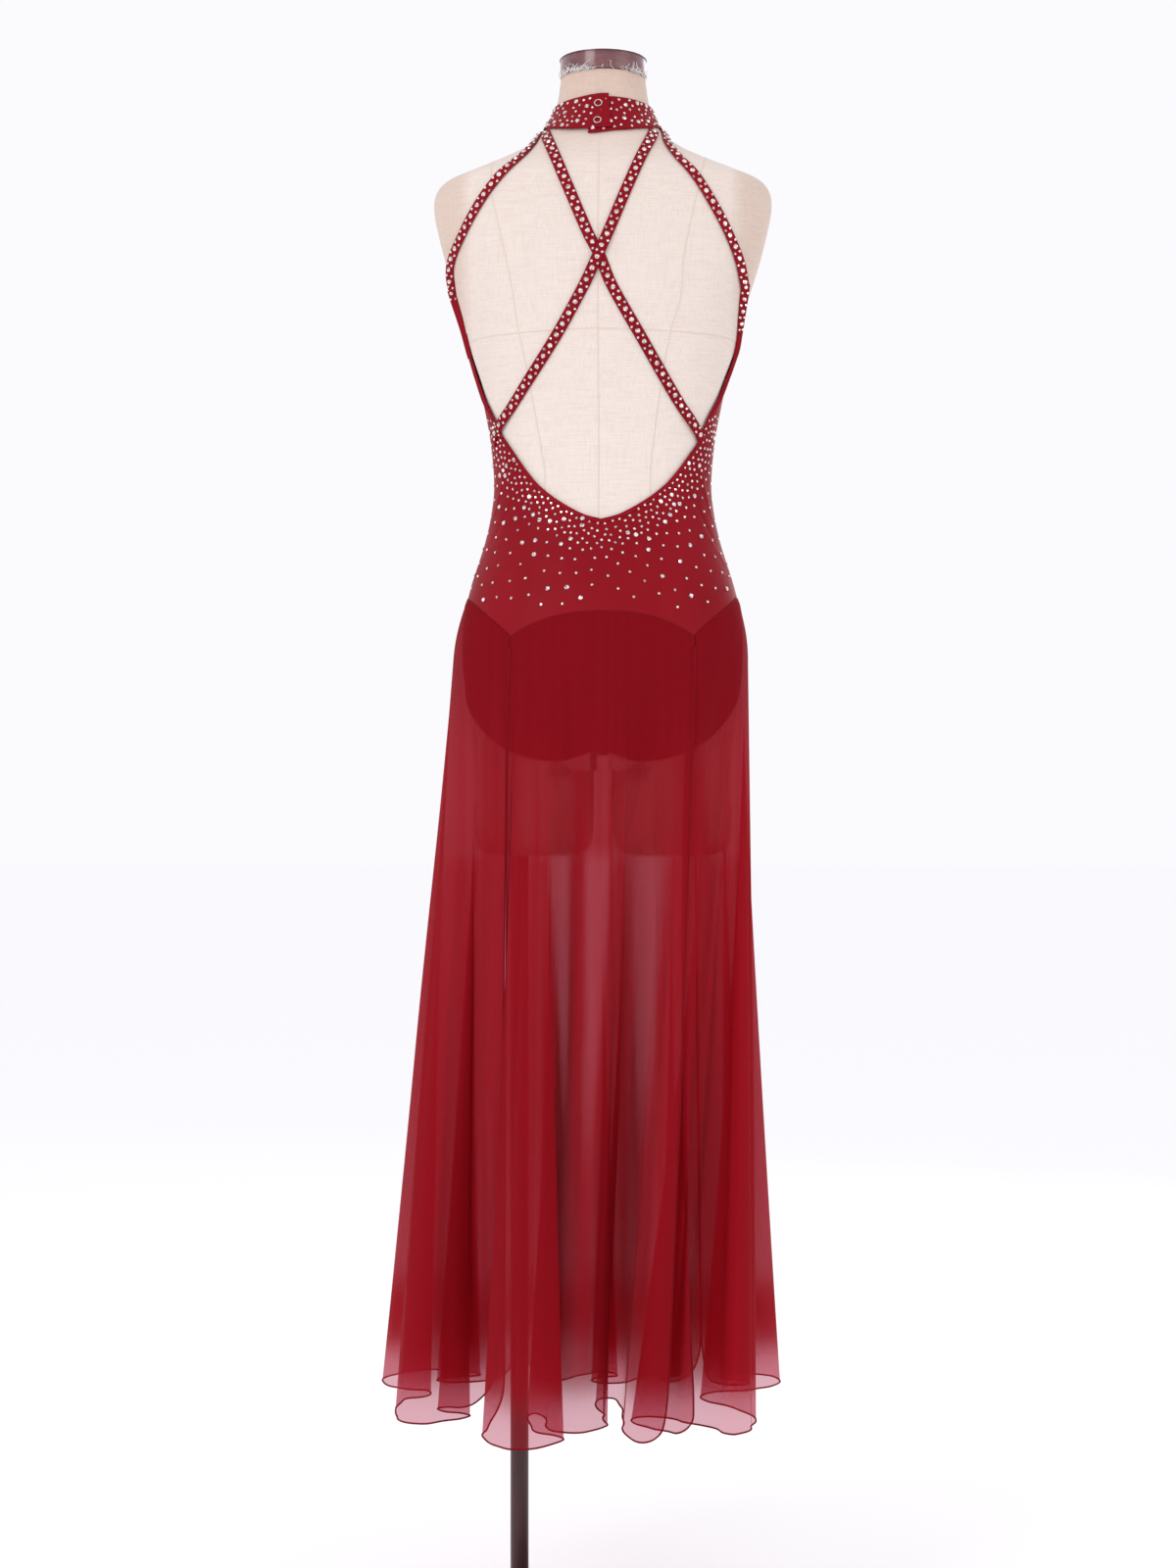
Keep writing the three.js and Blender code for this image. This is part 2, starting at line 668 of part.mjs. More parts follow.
// The turns at which bodice and brief are laid out, from side seam to side seam, with a
// column on each of the seam's low points so that the pieces meet along one line.
const SIDE_CUT = 0.15; // degrees kept clear at the side seams
const PANEL_COLUMNS = 7;
const CENTRE_COLUMNS = 12;

function torsoTurns(front) {
  const { backLeft: left, frontLeft: frontPoint, backRight: right } = SEAM_TURNS;
  const stops = front
    ? [90 + SIDE_CUT, frontPoint, 360 - frontPoint, 270 - SIDE_CUT]
    : [-90 + SIDE_CUT, right - 360, left, 90 - SIDE_CUT];
  const counts = [PANEL_COLUMNS, CENTRE_COLUMNS, PANEL_COLUMNS];
  const turns = [stops[0]];
  counts.forEach((count, i) => {
    for (let c = 1; c <= count; c += 1) turns.push(mix(stops[i], stops[i + 1], c / count));
  });
  return turns;
}

// ---- bodice --------------------------------------------------------------------------

// The front bodice's rows: how far round from centre front its edge lies at each height.
const FRONT_ROWS = [
  { up: 1100, reach: 90 },
  { up: 1140, reach: 90 },
  { up: 1180, reach: 90 },
  { up: 1220, reach: 90 },
  { up: 1262, reach: 90 },
  { up: 1304, reach: 90 },
  { up: 1340, reach: 90 },
  { up: 1390, reach: 90 },
  { up: 1404, reach: 92.5 },
  { up: 1430, reach: 93 },
  { up: 1456, reach: 92.5 },
  { up: 1472, reach: 91 },
  { up: 1486, reach: 86 },
  { up: 1494, reach: 79 },
  { up: 1503, reach: 70 },
  { up: 1512, reach: 61 },
  { up: 1524, reach: 52 },
  { up: 1542, reach: 42 },
  { up: 1562, reach: 35 },
  { up: 1582, reach: 33 },
  { up: 1598, reach: 37 },
  { up: 1612, reach: 46 },
];

const ARM_EASE = 1.2; // the armhole edges stand a little off the form

function frontBodice() {
  const foot = FRONT_ROWS[0].up;
  const neck = FRONT_ROWS[FRONT_ROWS.length - 1].up;
  const turns = torsoTurns(true);
  const grid = FRONT_ROWS.map(({ up: level, reach }) => turns.map((whole) => {
    const share = (level - foot) / (neck - foot);
    const turn = 180 + (whole - 180) * (reach / 90);
    const low = seamUp(turn) + SEAM_GAP / 2;
    const high = roundEdge(COLLAR_LOW, turn) - SEAM_GAP;
    const up = level + (low - foot) * (1 - share) ** 3 + (high - neck) * share ** 6;
    const nearArm = smooth((level - 1470) / 20) * smooth((1600 - level) / 30);
    const aside = Math.abs(whole - 180) / 90;
    return formPoint(turn, up, KNIT_MIDDLE + ARM_EASE * nearArm * aside);
  }));
  return clothWall(grid, KNIT);
}

// Where the opening's edge runs: its height at a distance across, and the bodice's top
// edge at a turn. Outside the cross straps it climbs along the armhole to the side seam.
const openingUp = (across) => (
  between(OPENING_EDGE, 'across', Math.abs(across - OPENING_MIDDLE), 'up')
);
const JOINT = OPENING_EDGE[0];
const JOINT_LEFT = turnAcross(OPENING_MIDDLE + JOINT.across, JOINT.up);
const JOINT_RIGHT = turnAcross(OPENING_MIDDLE - JOINT.across, JOINT.up);
const ARM_EDGE = { startTurn: 74, sideUp: 1388 };

function backTop(turn) {
  if (turn >= JOINT_LEFT || turn <= JOINT_RIGHT) {
    const { startTurn, sideUp } = ARM_EDGE;
    return mix(JOINT.up, sideUp, clamp01((Math.abs(turn) - startTurn) / (90 - startTurn)) ** 0.6);
  }
  let up = JOINT.up;
  for (let i = 0; i < 12; i += 1) up = openingUp(formPoint(turn, up).x);
  return up;
}

function backBodice() {
  const rows = 6;
  const turns = torsoTurns(false);
  const grid = Array.from({ length: rows + 1 }, (_, r) => turns.map((turn) => {
    const up = mix(seamUp(turn) + SEAM_GAP / 2, backTop(turn), r / rows);
    return formPoint(turn, up, KNIT_MIDDLE);
  }));
  return clothWall(grid, KNIT);
}

// The folded binding lies on the bodice along the opening, 5 mm wide.
const BINDING_WIDTH = 5;
const BINDING_LIFT = 1.0; // keeps it clear where the small of the back curves in

function backBinding() {
  const columns = 28;
  const proud = TRIM_MIDDLE + BINDING_LIFT;
  const edgePoint = (turn) => formPoint(turn, backTop(turn), proud);
  const grid = [[], []];
  for (let c = 0; c <= columns; c += 1) {
    const turn = mix(JOINT_RIGHT, JOINT_LEFT, c / columns);
    const step = 0.5;
    const top = edgePoint(turn);
    const ahead = edgePoint(turn + step).sub(edgePoint(turn - step)).normalize();
    const outward = formPoint(turn, top.z, proud + 1).sub(top).normalize();
    const into = ahead.cross(outward).normalize();
    if (into.z > 0) into.negate();
    const inner = top.clone().addScaledVector(into, BINDING_WIDTH);
    grid[0].push(top);
    grid[1].push(formPoint(turnAcross(inner.x, inner.z), inner.z, proud));
  }
  return clothWall(grid, KNIT);
}

add('front_bodice', frontBodice(), RED_KNIT);
add('back_bodice', backBodice(), RED_KNIT);
add('back_binding', backBinding(), RED_KNIT);

// ---- brief ---------------------------------------------------------------------------

// The leg edge's height at each turn from centre back (or front) to the side.
const LEG_EDGE_BACK = [
  { turn: 0, up: 964 },
  { turn: 12, up: 958 },
  { turn: 25, up: 960 },
  { turn: 45, up: 974 },
  { turn: 65, up: 1000 },
  { turn: 90, up: 1032 },
];
const LEG_EDGE_FRONT = [
  { turn: 0, up: 962 },
  { turn: 8, up: 968 },
  { turn: 20, up: 990 },
  { turn: 45, up: 1022 },
  { turn: 70, up: 1038 },
  { turn: 90, up: 1034 },
];
const GUSSET_WIDTH = 17; // where the brief passes between the thigh stubs

function brief(front) {
  const rows = 5;
  const edge = front ? LEG_EDGE_FRONT : LEG_EDGE_BACK;
  const turns = torsoTurns(front);
  const grid = Array.from({ length: rows + 1 }, (_, r) => turns.map((turn) => {
    const low = between(edge, 'turn', Math.abs(front ? turn - 180 : turn), 'up');
    const up = mix(seamUp(turn) - SEAM_GAP / 2, low, r / rows);
    return formPoint(turn, up, KNIT_MIDDLE);
  }));
  return clothWall(grid, KNIT);
}

// The crotch piece runs under the form, through the arched slot between the stubs.
function gusset() {
  const half = GUSSET_WIDTH / 2 - KNIT;
  const archRadius = LEG_SLOT / 2 - FORM_GAP - KNIT / 2;
  const archMiddle = CROTCH_UP - LEG_SLOT / 2;
  const reaches = [1, 0.7, 0.35, 0, -0.35, -0.7, -1];
  const grid = reaches.map((reach) => [-1, -0.5, 0, 0.5, 1].map((share) => {
    const across = share * half;
    const up = archMiddle + Math.sqrt(archRadius ** 2 - across ** 2);
    const section = sectionAt(up);
    const depth = (reach > 0 ? section.back : section.front) + FORM_GAP - 1.5 * SEAM_GAP;
    return new THREE.Vector3(across, reach * depth, up);
  }));
  return clothWall(grid, KNIT);
}

add('brief_back', brief(false), RED_KNIT);
add('brief_front', brief(true), RED_KNIT);
add('brief_gusset', gusset(), RED_KNIT);

// ---- straps --------------------------------------------------------------------------

function pathOnForm(points, proudAt) {
  return points.map(({ turn, up }) => {
    const proud = proudAt(up);
    const point = formPoint(turn, up, proud);
    const normal = formPoint(turn, up, proud + 1).sub(point).normalize();
    return { point, normal };
  });
}

function spreadRows(rows, columns, count) {
  const curves = columns.map((column) => new THREE.CatmullRomCurve3(
    rows.map((row, i) => new THREE.Vector3(i, row[column], 0)),
    false,
    'centripetal',
  ));
  return Array.from({ length: count + 1 }, (_, i) => {
    const row = {};
    columns.forEach((column, k) => {
      row[column] = curves[k].getPoint(i / count).y;
    });
    return row;
  });
}

const STRAP_STEPS = 24;

function crossStrap(column) {
  const rows = spreadRows(CROSS_STRAPS, ['up', column], STRAP_STEPS)
    .map((row) => ({ turn: turnAcross(row[column], row.up), up: row.up }));
  const hump = (up) => (KNIT + SEAM_GAP) * (1 - smooth((Math.abs(up - CROSSING_UP) - 14) / 20));
  const path = pathOnForm(rows, (up) => KNIT_MIDDLE + (column === 'over' ? hump(up) : 0));
  return strapAlong(path, CROSS_STRAP_WIDTH, KNIT);
}

function sideStrap(column) {
  const rows = spreadRows(SIDE_STRAPS, ['up', column], STRAP_STEPS)
    .map((row) => ({ turn: turnAcross(row[column], row.up), up: row.up }));
  return strapAlong(pathOnForm(rows, () => KNIT_MIDDLE), SIDE_STRAP_WIDTH, KNIT);
}

add('cross_strap_under', crossStrap('under'), RED_KNIT);
add('cross_strap_over', crossStrap('over'), RED_KNIT);
add('side_strap_left', sideStrap('left'), RED_KNIT);
add('side_strap_right', sideStrap('right'), RED_KNIT);

// ---- skirt ---------------------------------------------------------------------------

const SKIRT_TOP_PROUD = KNIT_OUTSIDE + SEAM_GAP + CHIFFON / 2;
const EDGE_CLEAR = 0.35; // degrees kept from the neighbouring panel at the seam
const SKIRT_LEVELS = [0, 0.04, 0.1, 0.17, 0.28, 0.45, 0.68, 1];

function spreadPoint(turn) {
  const ahead = Math.cos(rad(turn));
  return new THREE.Vector2(
    SPREAD.middle + SPREAD.half * Math.sin(rad(turn)),
    ahead * (ahead > 0 ? SPREAD.back : SPREAD.front),
  );
}

// The chiffon never comes closer to the hips or the stubs than the brief allows.
function keptOutside(point) {
  if (point.z < STUB_BOTTOM - 10) return point;
  const level = Math.max(point.z, 960);
  const section = sectionAt(level);
  const proud = SKIRT_TOP_PROUD + 1;
  const half = section.half + proud;
  const depth = (point.y > section.lean ? section.back : section.front) + proud;
  const size = (Math.abs(point.x) / half) ** section.square
    + (Math.abs(point.y - section.lean) / depth) ** section.square;
  if (size >= 1 || size === 0) return point;
  const grow = size ** (-1 / section.square);
  const fade = smooth((point.z - STUB_BOTTOM + 10) / 40);
  return new THREE.Vector3(
    mix(point.x, point.x * grow, fade),
    mix(point.y, section.lean + (point.y - section.lean) * grow, fade),
    point.z,
  );
}

// spreadFrom and spreadTo: where on the overall spread the panel's two edges hang.
function skirtPanel({ from, to, spreadFrom, spreadTo, hem, columns }) {
  const plan = new THREE.CatmullRomCurve3(
    hem.map(({ across, back }) => new THREE.Vector3(across, back, 0)),
    false,
    'centripetal',
  );
  const planLength = plan.getLength();
  const clear = Math.sign(to - from) * EDGE_CLEAR;
  const grid = SKIRT_LEVELS.map(() => []);
  for (let c = 0; c <= columns; c += 1) {
    const share = c / columns;
    const turn = mix(from + clear, to - clear, share);
    const topUp = seamUp(turn) - SEAM_GAP;
    const low = plan.getPointAt(share);
    const wide = spreadPoint(mix(spreadFrom, spreadTo, share));
    const fromEdge = Math.min(share, 1 - share) * planLength;
    const inset = Math.max(0, CORNER_RADIUS - fromEdge);
    const rise = CORNER_RADIUS - Math.sqrt(CORNER_RADIUS ** 2 - inset ** 2);
    const fall = topUp - HEM_UP;
    SKIRT_LEVELS.forEach((level, r) => {
      const drop = (level * (fall - rise)) / fall;
      const up = topUp - drop * fall;
      const hang = formPoint(turn, Math.max(up, 1060), SKIRT_TOP_PROUD + 4 * smooth(drop * 12));
      const nearEdge = 1 - smooth(fromEdge / EDGE_REACH);
      const folded = drop ** mix(FOLD_GROWTH, EDGE_GROWTH, nearEdge);
      const point = new THREE.Vector3(
        hang.x * (1 - drop) + wide.x * (drop - folded) + low.x * folded,
        hang.y * (1 - drop) + wide.y * (drop - folded) + low.y * folded,
        up,
      );
      grid[r].push(r === 0 ? formPoint(turn, up, SKIRT_TOP_PROUD) : keptOutside(point));
    });
  }
  return clothWall(grid, CHIFFON);
}

const { backLeft, frontLeft, frontRight, backRight } = SEAM_TURNS;
add('skirt_back', skirtPanel({
  from: backLeft, to: backRight - 360, spreadFrom: 16.8, spreadTo: -28.8, hem: BACK_HEM, columns: 62,
}), RED_CHIFFON);
add('skirt_side_left', skirtPanel({
  from: backLeft, to: frontLeft, spreadFrom: 17.2, spreadTo: 161, hem: LEFT_HEM, columns: 51,
}), RED_CHIFFON);
add('skirt_side_right', skirtPanel({
  from: backRight, to: frontRight, spreadFrom: 330.8, spreadTo: 217, hem: RIGHT_HEM, columns: 50,
}), RED_CHIFFON);
add('skirt_front', skirtPanel({
  from: frontLeft, to: frontRight, spreadFrom: 161, spreadTo: 217, hem: FRONT_HEM, columns: 46,
}), RED_CHIFFON);

export default dress;
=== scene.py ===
# Lyrical dance dress worn on a limbless dress form, in metres.
# +Z is up, the dress's front faces -Y and its open back +Y.

import math
import random

import bpy
import numpy as np
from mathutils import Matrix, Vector


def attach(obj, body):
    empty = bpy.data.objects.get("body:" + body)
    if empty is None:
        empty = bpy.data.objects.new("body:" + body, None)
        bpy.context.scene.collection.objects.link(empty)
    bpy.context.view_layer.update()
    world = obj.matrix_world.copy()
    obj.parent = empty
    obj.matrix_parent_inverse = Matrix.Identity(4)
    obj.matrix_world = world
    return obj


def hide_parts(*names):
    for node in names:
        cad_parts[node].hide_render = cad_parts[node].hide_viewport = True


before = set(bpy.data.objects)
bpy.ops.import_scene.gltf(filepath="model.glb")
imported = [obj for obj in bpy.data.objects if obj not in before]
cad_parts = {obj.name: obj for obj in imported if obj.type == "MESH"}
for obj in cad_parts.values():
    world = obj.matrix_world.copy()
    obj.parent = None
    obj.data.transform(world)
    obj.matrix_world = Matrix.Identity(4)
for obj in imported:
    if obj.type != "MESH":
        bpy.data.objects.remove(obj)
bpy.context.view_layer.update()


# ---- camera and room ---------------------------------------------------------------
# A long lens at hip height looks level at the dress's back. The room is a plain pale
# floor under an even white sky, with three soft boxes for the shape of the folds.

camera_distance, camera_up = 3.21, 0.93
camera_turn = math.radians(182.5)
# The object stands a few pixels beside the middle of a 1200 by 1600 frame.
frame_height, framed_aside = 1600, 15
camera_data = bpy.data.cameras.new("camera")
camera_data.lens = 67.5
camera_data.sensor_width = 36
camera_data.shift_x = -framed_aside / frame_height
camera = bpy.data.objects.new("camera", camera_data)
camera.location = (
    math.sin(camera_turn) * camera_distance,
    -math.cos(camera_turn) * camera_distance,
    camera_up,
)
camera.rotation_euler = (math.pi / 2, 0, camera_turn)
bpy.context.collection.objects.link(camera)
bpy.context.scene.camera = camera
bpy.context.scene.view_settings.view_transform = "Standard"


def with_values(node, **values):
    """Sets a node's sockets, each named with _ for its spaces."""
    for socket, value in values.items():
        node.inputs[socket.replace("_", " ")].default_value = value
    return node


def finish_named(name, **values):
    """A new finish: its main shader gets the values that are the same all over."""
    finish = bpy.data.materials.new(name)
    finish.use_nodes = True
    with_values(finish.node_tree.nodes["Principled BSDF"], **values)
    return finish


def add_node(finish, kind, **values):
    return with_values(finish.node_tree.nodes.new("ShaderNode" + kind), **values)


def lead(finish, output, socket):
    """Leads an output to a socket, or to the main shader's socket of that name."""
    if isinstance(socket, str):
        socket = finish.node_tree.nodes["Principled BSDF"].inputs[socket]
    finish.node_tree.links.new(output, socket)


bpy.ops.object.select_all(action="DESELECT")
bpy.ops.mesh.primitive_plane_add(size=60)
floor = bpy.context.object
floor.name = "floor"
floor_paint = finish_named("floor_paint", Base_Color=(0.990, 0.988, 0.994, 1), Roughness=0.9)
mottle = add_node(floor_paint, "TexNoise", Scale=3)
dents = add_node(floor_paint, "Bump", Strength=0.02)
lead(floor_paint, mottle.outputs["Fac"], dents.inputs["Height"])
lead(floor_paint, dents.outputs["Normal"], "Normal")
floor.data.materials.append(floor_paint)

sky = bpy.data.worlds.new("sky")
sky.use_nodes = True
with_values(sky.node_tree.nodes["Background"], Color=(0.965, 0.96, 0.99, 1), Strength=1.0)
bpy.context.scene.world = sky

for name, place, aim, size, power in (
    ("key_box", (1.9, 2.6, 2.5), (0, 0, 1.1), 1.5, 26),
    ("fill_box", (-2.6, 1.6, 1.6), (0, 0, 1.0), 1.8, 9),
    ("front_box", (-1.2, -3.0, 2.2), (0, 0, 1.0), 1.8, 12),
):
    box_data = bpy.data.lights.new(name, "AREA")
    box_data.size = size
    box_data.energy = power
    soft_box = bpy.data.objects.new(name, box_data)
    soft_box.location = place
    aimed = (Vector(aim) - Vector(place)).to_track_quat("-Z", "Y")
    soft_box.rotation_euler = aimed.to_euler()
    bpy.context.collection.objects.link(soft_box)


# ---- dress form --------------------------------------------------------------------
# A padded shell covered in stretched linen, with the panels' seams showing, a raw edge
# of linen at the neck and two short thigh stubs. The cloth pieces all follow its skin.

# Level sections: height, half width, lean, depth behind and before, squareness.
FORM_COLUMNS = ("up", "half", "lean", "back", "front", "square")
FORM_SECTIONS = (
    (1.702, 0.046, -0.012, 0.050, 0.050, 2.0),
    (1.680, 0.049, -0.011, 0.052, 0.052, 2.0),
    (1.662, 0.053, -0.009, 0.055, 0.056, 2.0),
    (1.646, 0.061, -0.007, 0.060, 0.061, 2.0),
    (1.634, 0.072, -0.005, 0.064, 0.067, 2.0),
    (1.621, 0.090, -0.003, 0.068, 0.074, 2.05),
    (1.609, 0.116, -0.002, 0.073, 0.080, 2.1),
    (1.597, 0.146, -0.001, 0.078, 0.087, 2.15),
    (1.586, 0.171, 0.0, 0.081, 0.092, 2.2),
    (1.573, 0.182, 0.0, 0.084, 0.097, 2.2),
    (1.555, 0.184, 0.0, 0.088, 0.102, 2.25),
    (1.528, 0.179, 0.0, 0.092, 0.109, 2.3),
    (1.497, 0.171, 0.0, 0.095, 0.117, 2.3),
    (1.465, 0.161, 0.0, 0.096, 0.124, 2.3),
    (1.433, 0.151, 0.0, 0.094, 0.126, 2.3),
    (1.401, 0.143, 0.0, 0.090, 0.119, 2.3),
    (1.369, 0.133, 0.0, 0.086, 0.108, 2.3),
    (1.337, 0.126, 0.0, 0.081, 0.099, 2.3),
    (1.304, 0.120, 0.0, 0.077, 0.092, 2.25),
    (1.256, 0.116, 0.0, 0.076, 0.088, 2.2),
    (1.224, 0.119, 0.0, 0.081, 0.090, 2.2),
    (1.192, 0.126, 0.0, 0.090, 0.093, 2.2),
    (1.160, 0.136, 0.0, 0.101, 0.096, 2.25),
    (1.128, 0.145, 0.0, 0.111, 0.098, 2.3),
    (1.096, 0.150, 0.0, 0.117, 0.099, 2.3),
    (1.060, 0.150, 0.0, 0.118, 0.098, 2.35),
    (1.030, 0.147, 0.0, 0.114, 0.097, 2.4),
    (1.000, 0.145, 0.0, 0.107, 0.095, 2.45),
    (0.970, 0.143, 0.0, 0.100, 0.093, 2.5),
    (0.945, 0.141, 0.0, 0.095, 0.090, 2.5),
)
STUB_COLUMNS = ("up", "inner", "outer", "deep")
STUB_SECTIONS = (
    (0.968, 0.016, 0.130, 0.084),
    (0.950, 0.011, 0.140, 0.093),
    (0.930, 0.010, 0.141, 0.088),
    (0.905, 0.010, 0.141, 0.083),
    (0.875, 0.011, 0.140, 0.079),
    (0.862, 0.015, 0.136, 0.075),
    (0.856, 0.021, 0.130, 0.069),
    (0.853, 0.032, 0.119, 0.057),
)


def between(table, names, column, at, key="up"):
    """A column of a table read at any height, on a smooth curve through its rows."""
    rows = np.array(sorted(table, key=lambda row: row[names.index(key)]), float)
    x, y = rows[:, names.index(key)], rows[:, names.index(column)]
    at = np.clip(at, x[0], x[-1])
    low = np.clip(np.searchsorted(x, at, side="right") - 1, 0, len(x) - 2)
    before, high, after = np.maximum(low - 1, 0), low + 1, np.minimum(low + 2, len(x) - 1)
    span = x[high] - x[low]
    share = (at - x[low]) / span
    in_slope = (y[high] - y[before]) / (x[high] - x[before]) * span
    out_slope = (y[after] - y[low]) / (x[after] - x[low]) * span
    s2, s3 = share**2, share**3
    return (
        (2 * s3 - 3 * s2 + 1) * y[low]
        + (s3 - 2 * s2 + share) * in_slope
        + (3 * s2 - 2 * s3) * y[high]
        + (s3 - s2) * out_slope
    )


def read_off(table, at):
    """The second column of a table of pairs, read at any value of the first."""
    return between(table, ("at", "value"), "value", at, key="at")


def signed_power(value, power):
    return np.sign(value) * np.abs(value) ** power


def smooth_step(value):
    value = np.clip(value, 0, 1)
    return value**2 * (3 - 2 * value)


def on_skin(turn, up):
    part = {c: between(FORM_SECTIONS, FORM_COLUMNS, c, up) for c in FORM_COLUMNS[1:]}
    side, ahead = np.sin(np.radians(turn)), np.cos(np.radians(turn))
    depth = np.where(ahead >= 0, part["back"], part["front"])
    power = 2 / part["square"]
    x = part["half"] * signed_power(side, power)
    y = part["lean"] + depth * signed_power(ahead, power)
    return np.stack([x, y, up + 0 * x], axis=-1)


def unit(vectors):
    return vectors / np.maximum(np.linalg.norm(vectors, axis=-1, keepdims=True), 1e-12)


def skin_normal(turn, up):
    """Outward from the form, measured over a small step, where turn runs from centre back
    (0) by the wearer's left (90) to centre front (180)."""
    aside = on_skin(turn + 2, up) - on_skin(turn - 2, up)
    above = on_skin(turn, up + 0.002) - on_skin(turn, up - 0.002)
    return unit(np.cross(above, aside))


def off_form(turn, up, proud):
    turn, up, proud = np.broadcast_arrays(
        np.asarray(turn, float), np.asarray(up, float), np.asarray(proud, float)
    )
    return on_skin(turn, up) + skin_normal(turn, up) * proud[..., None]


def turn_at(across, up, front=False):
    """The turn of the point that lies a given distance across the back or the front."""
    half = between(FORM_SECTIONS, FORM_COLUMNS, "half", up)
    square = between(FORM_SECTIONS, FORM_COLUMNS, "square", up)
    angle = np.degrees(np.arcsin(np.minimum(1, np.abs(across) / half) ** (square / 2)))
    return np.sign(across) * (180 - angle if front else angle)


def mesh_piece(name, points, faces, finish, uvs=None, smooth=True):
    """An object of its own from points and faces, with its finish and its cloth's UVs."""
    mesh = bpy.data.meshes.new(name)
    mesh.from_pydata(np.asarray(points).reshape(-1, 3).tolist(), [], faces)
    if uvs is not None:
        layer = mesh.uv_layers.new(name="cloth")
        index = np.empty(len(mesh.loops), dtype=np.int32)
        mesh.loops.foreach_get("vertex_index", index)
        layer.data.foreach_set("uv", np.asarray(uvs, np.float32)[index].ravel())
    mesh.materials.append(finish)
    if smooth:
        mesh.polygons.foreach_set("use_smooth", [True] * len(mesh.polygons))
    piece = bpy.data.objects.new(name, mesh)
    bpy.context.collection.objects.link(piece)
    return piece


def ring_body(name, rings, finish):
    """A closed body from rings stacked from the top down."""
    levels, count = rings.shape[:2]
    ring = np.arange(count)
    after = (ring + 1) % count
    faces = []
    for level in range(levels - 1):
        a, b = level * count + ring, level * count + after
        faces += np.stack([a, a + count, b + count, b], axis=1).tolist()
    faces.append(ring.tolist())
    faces.append(((levels - 1) * count + ring)[::-1].tolist())
    return mesh_piece(name, rings, faces, finish)


def only_select(piece):
    bpy.ops.object.select_all(action="DESELECT")
    piece.select_set(True)
    bpy.context.view_layer.objects.active = piece


def cut_or_join(piece, other, operation):
    only_select(piece)
    cut = piece.modifiers.new("cut", "BOOLEAN")
    cut.object, cut.operation, cut.solver = other, operation, "EXACT"
    bpy.ops.object.modifier_apply(modifier=cut.name)
    bpy.data.objects.remove(other)


def picked(piece, kind, wanted):
    """Opens a piece in edit mode with only its wanted corners or faces selected."""
    bpy.ops.object.mode_set(mode="EDIT")
    bpy.ops.mesh.select_mode(type=kind)
    bpy.ops.mesh.select_all(action="DESELECT")
    bpy.ops.object.mode_set(mode="OBJECT")
    for part in piece.data.vertices if kind == "VERT" else piece.data.polygons:
        part.select = wanted(part)
    bpy.ops.object.mode_set(mode="EDIT")


def outward(piece):
    """Turns every face of a closed piece outwards."""
    only_select(piece)
    bpy.ops.object.mode_set(mode="EDIT")
    bpy.ops.mesh.select_all(action="SELECT")
    bpy.ops.mesh.normals_make_consistent(inside=False)
    bpy.ops.object.mode_set(mode="OBJECT")


def coordinates(finish, stretch=(1, 1, 1), source="Object"):
    """Surface coordinates, for a pattern."""
    place = add_node(finish, "TexCoord")
    stretched = add_node(finish, "Mapping", Scale=stretch)
    lead(finish, place.outputs[source], stretched.inputs["Vector"])
    return stretched.outputs["Vector"]


def noise(finish, scale, stretch=(1, 1, 1), detail=3, rough=0.5, source="Object"):
    pattern = add_node(finish, "TexNoise", Scale=scale, Detail=detail, Roughness=rough)
    lead(finish, coordinates(finish, stretch, source), pattern.inputs["Vector"])
    return pattern.outputs["Fac"]


def worked_out(finish, operation, *values):
    """The output of a sum on other nodes' outputs."""
    result = add_node(finish, "Math")
    result.operation = operation
    for socket, value in zip(result.inputs, values):
        lead(finish, value, socket)
    return result.outputs[0]


def tinted(finish, factor, shades, socket="Base Color"):
    """Colours a socket from a pattern, through a ramp of (place, colour)."""
    ramp = add_node(finish, "ValToRGB")
    while len(ramp.color_ramp.elements) < len(shades):
        ramp.color_ramp.elements.new(0.5)
    for stop, (at, shade) in zip(ramp.color_ramp.elements, shades):
        stop.position = at
        stop.color = (*shade, 1)
    lead(finish, factor, ramp.inputs["Fac"])
    lead(finish, ramp.outputs["Color"], socket)


def raised(finish, height, strength, distance, under=None):
    """Relief from a pattern, over any relief that lies under it."""
    bump = add_node(finish, "Bump", Strength=strength, Distance=distance)
    lead(finish, height, bump.inputs["Height"])
    if under is not None:
        lead(finish, under, bump.inputs["Normal"])
    lead(finish, bump.outputs["Normal"], "Normal")
    return bump.outputs["Normal"]


linen = finish_named("linen", Roughness=0.92, Sheen_Weight=0.12, Sheen_Roughness=0.6)
weave = worked_out(
    linen, "MULTIPLY",
    noise(linen, 900, (1, 1, 0.03), detail=2), noise(linen, 900, (0.05, 0.05, 1), detail=2),
)
# Darker and warmer towards the neck, and painted shade towards the sides at the shoulders and
# armholes, where the form turns from the light: most at the neck.
toned = add_node(linen, "VectorMath")
toned.operation = "MULTIPLY"
lead(linen, toned.outputs["Vector"], "Base Color")
tinted(
    linen, weave,
    ((0.1, (0.70, 0.595, 0.535)), (0.25, (0.76, 0.66, 0.60)), (0.45, (0.80, 0.71, 0.65))),
    toned.inputs[0],
)
place = add_node(linen, "SeparateXYZ")
lead(linen, coordinates(linen), place.inputs["Vector"])
aside = worked_out(linen, "ABSOLUTE", place.outputs["X"])
neck_tone_and_side_shade = []
for value, start, end, most in ((place.outputs["Z"], 1.30, 1.70, 1.0), (aside, 0.07, 0.156, 0.9)):
    spread = add_node(linen, "MapRange", From_Min=start, From_Max=end, To_Max=most)
    lead(linen, value, spread.inputs["Value"])
    neck_tone_and_side_shade.append(spread.outputs["Result"])
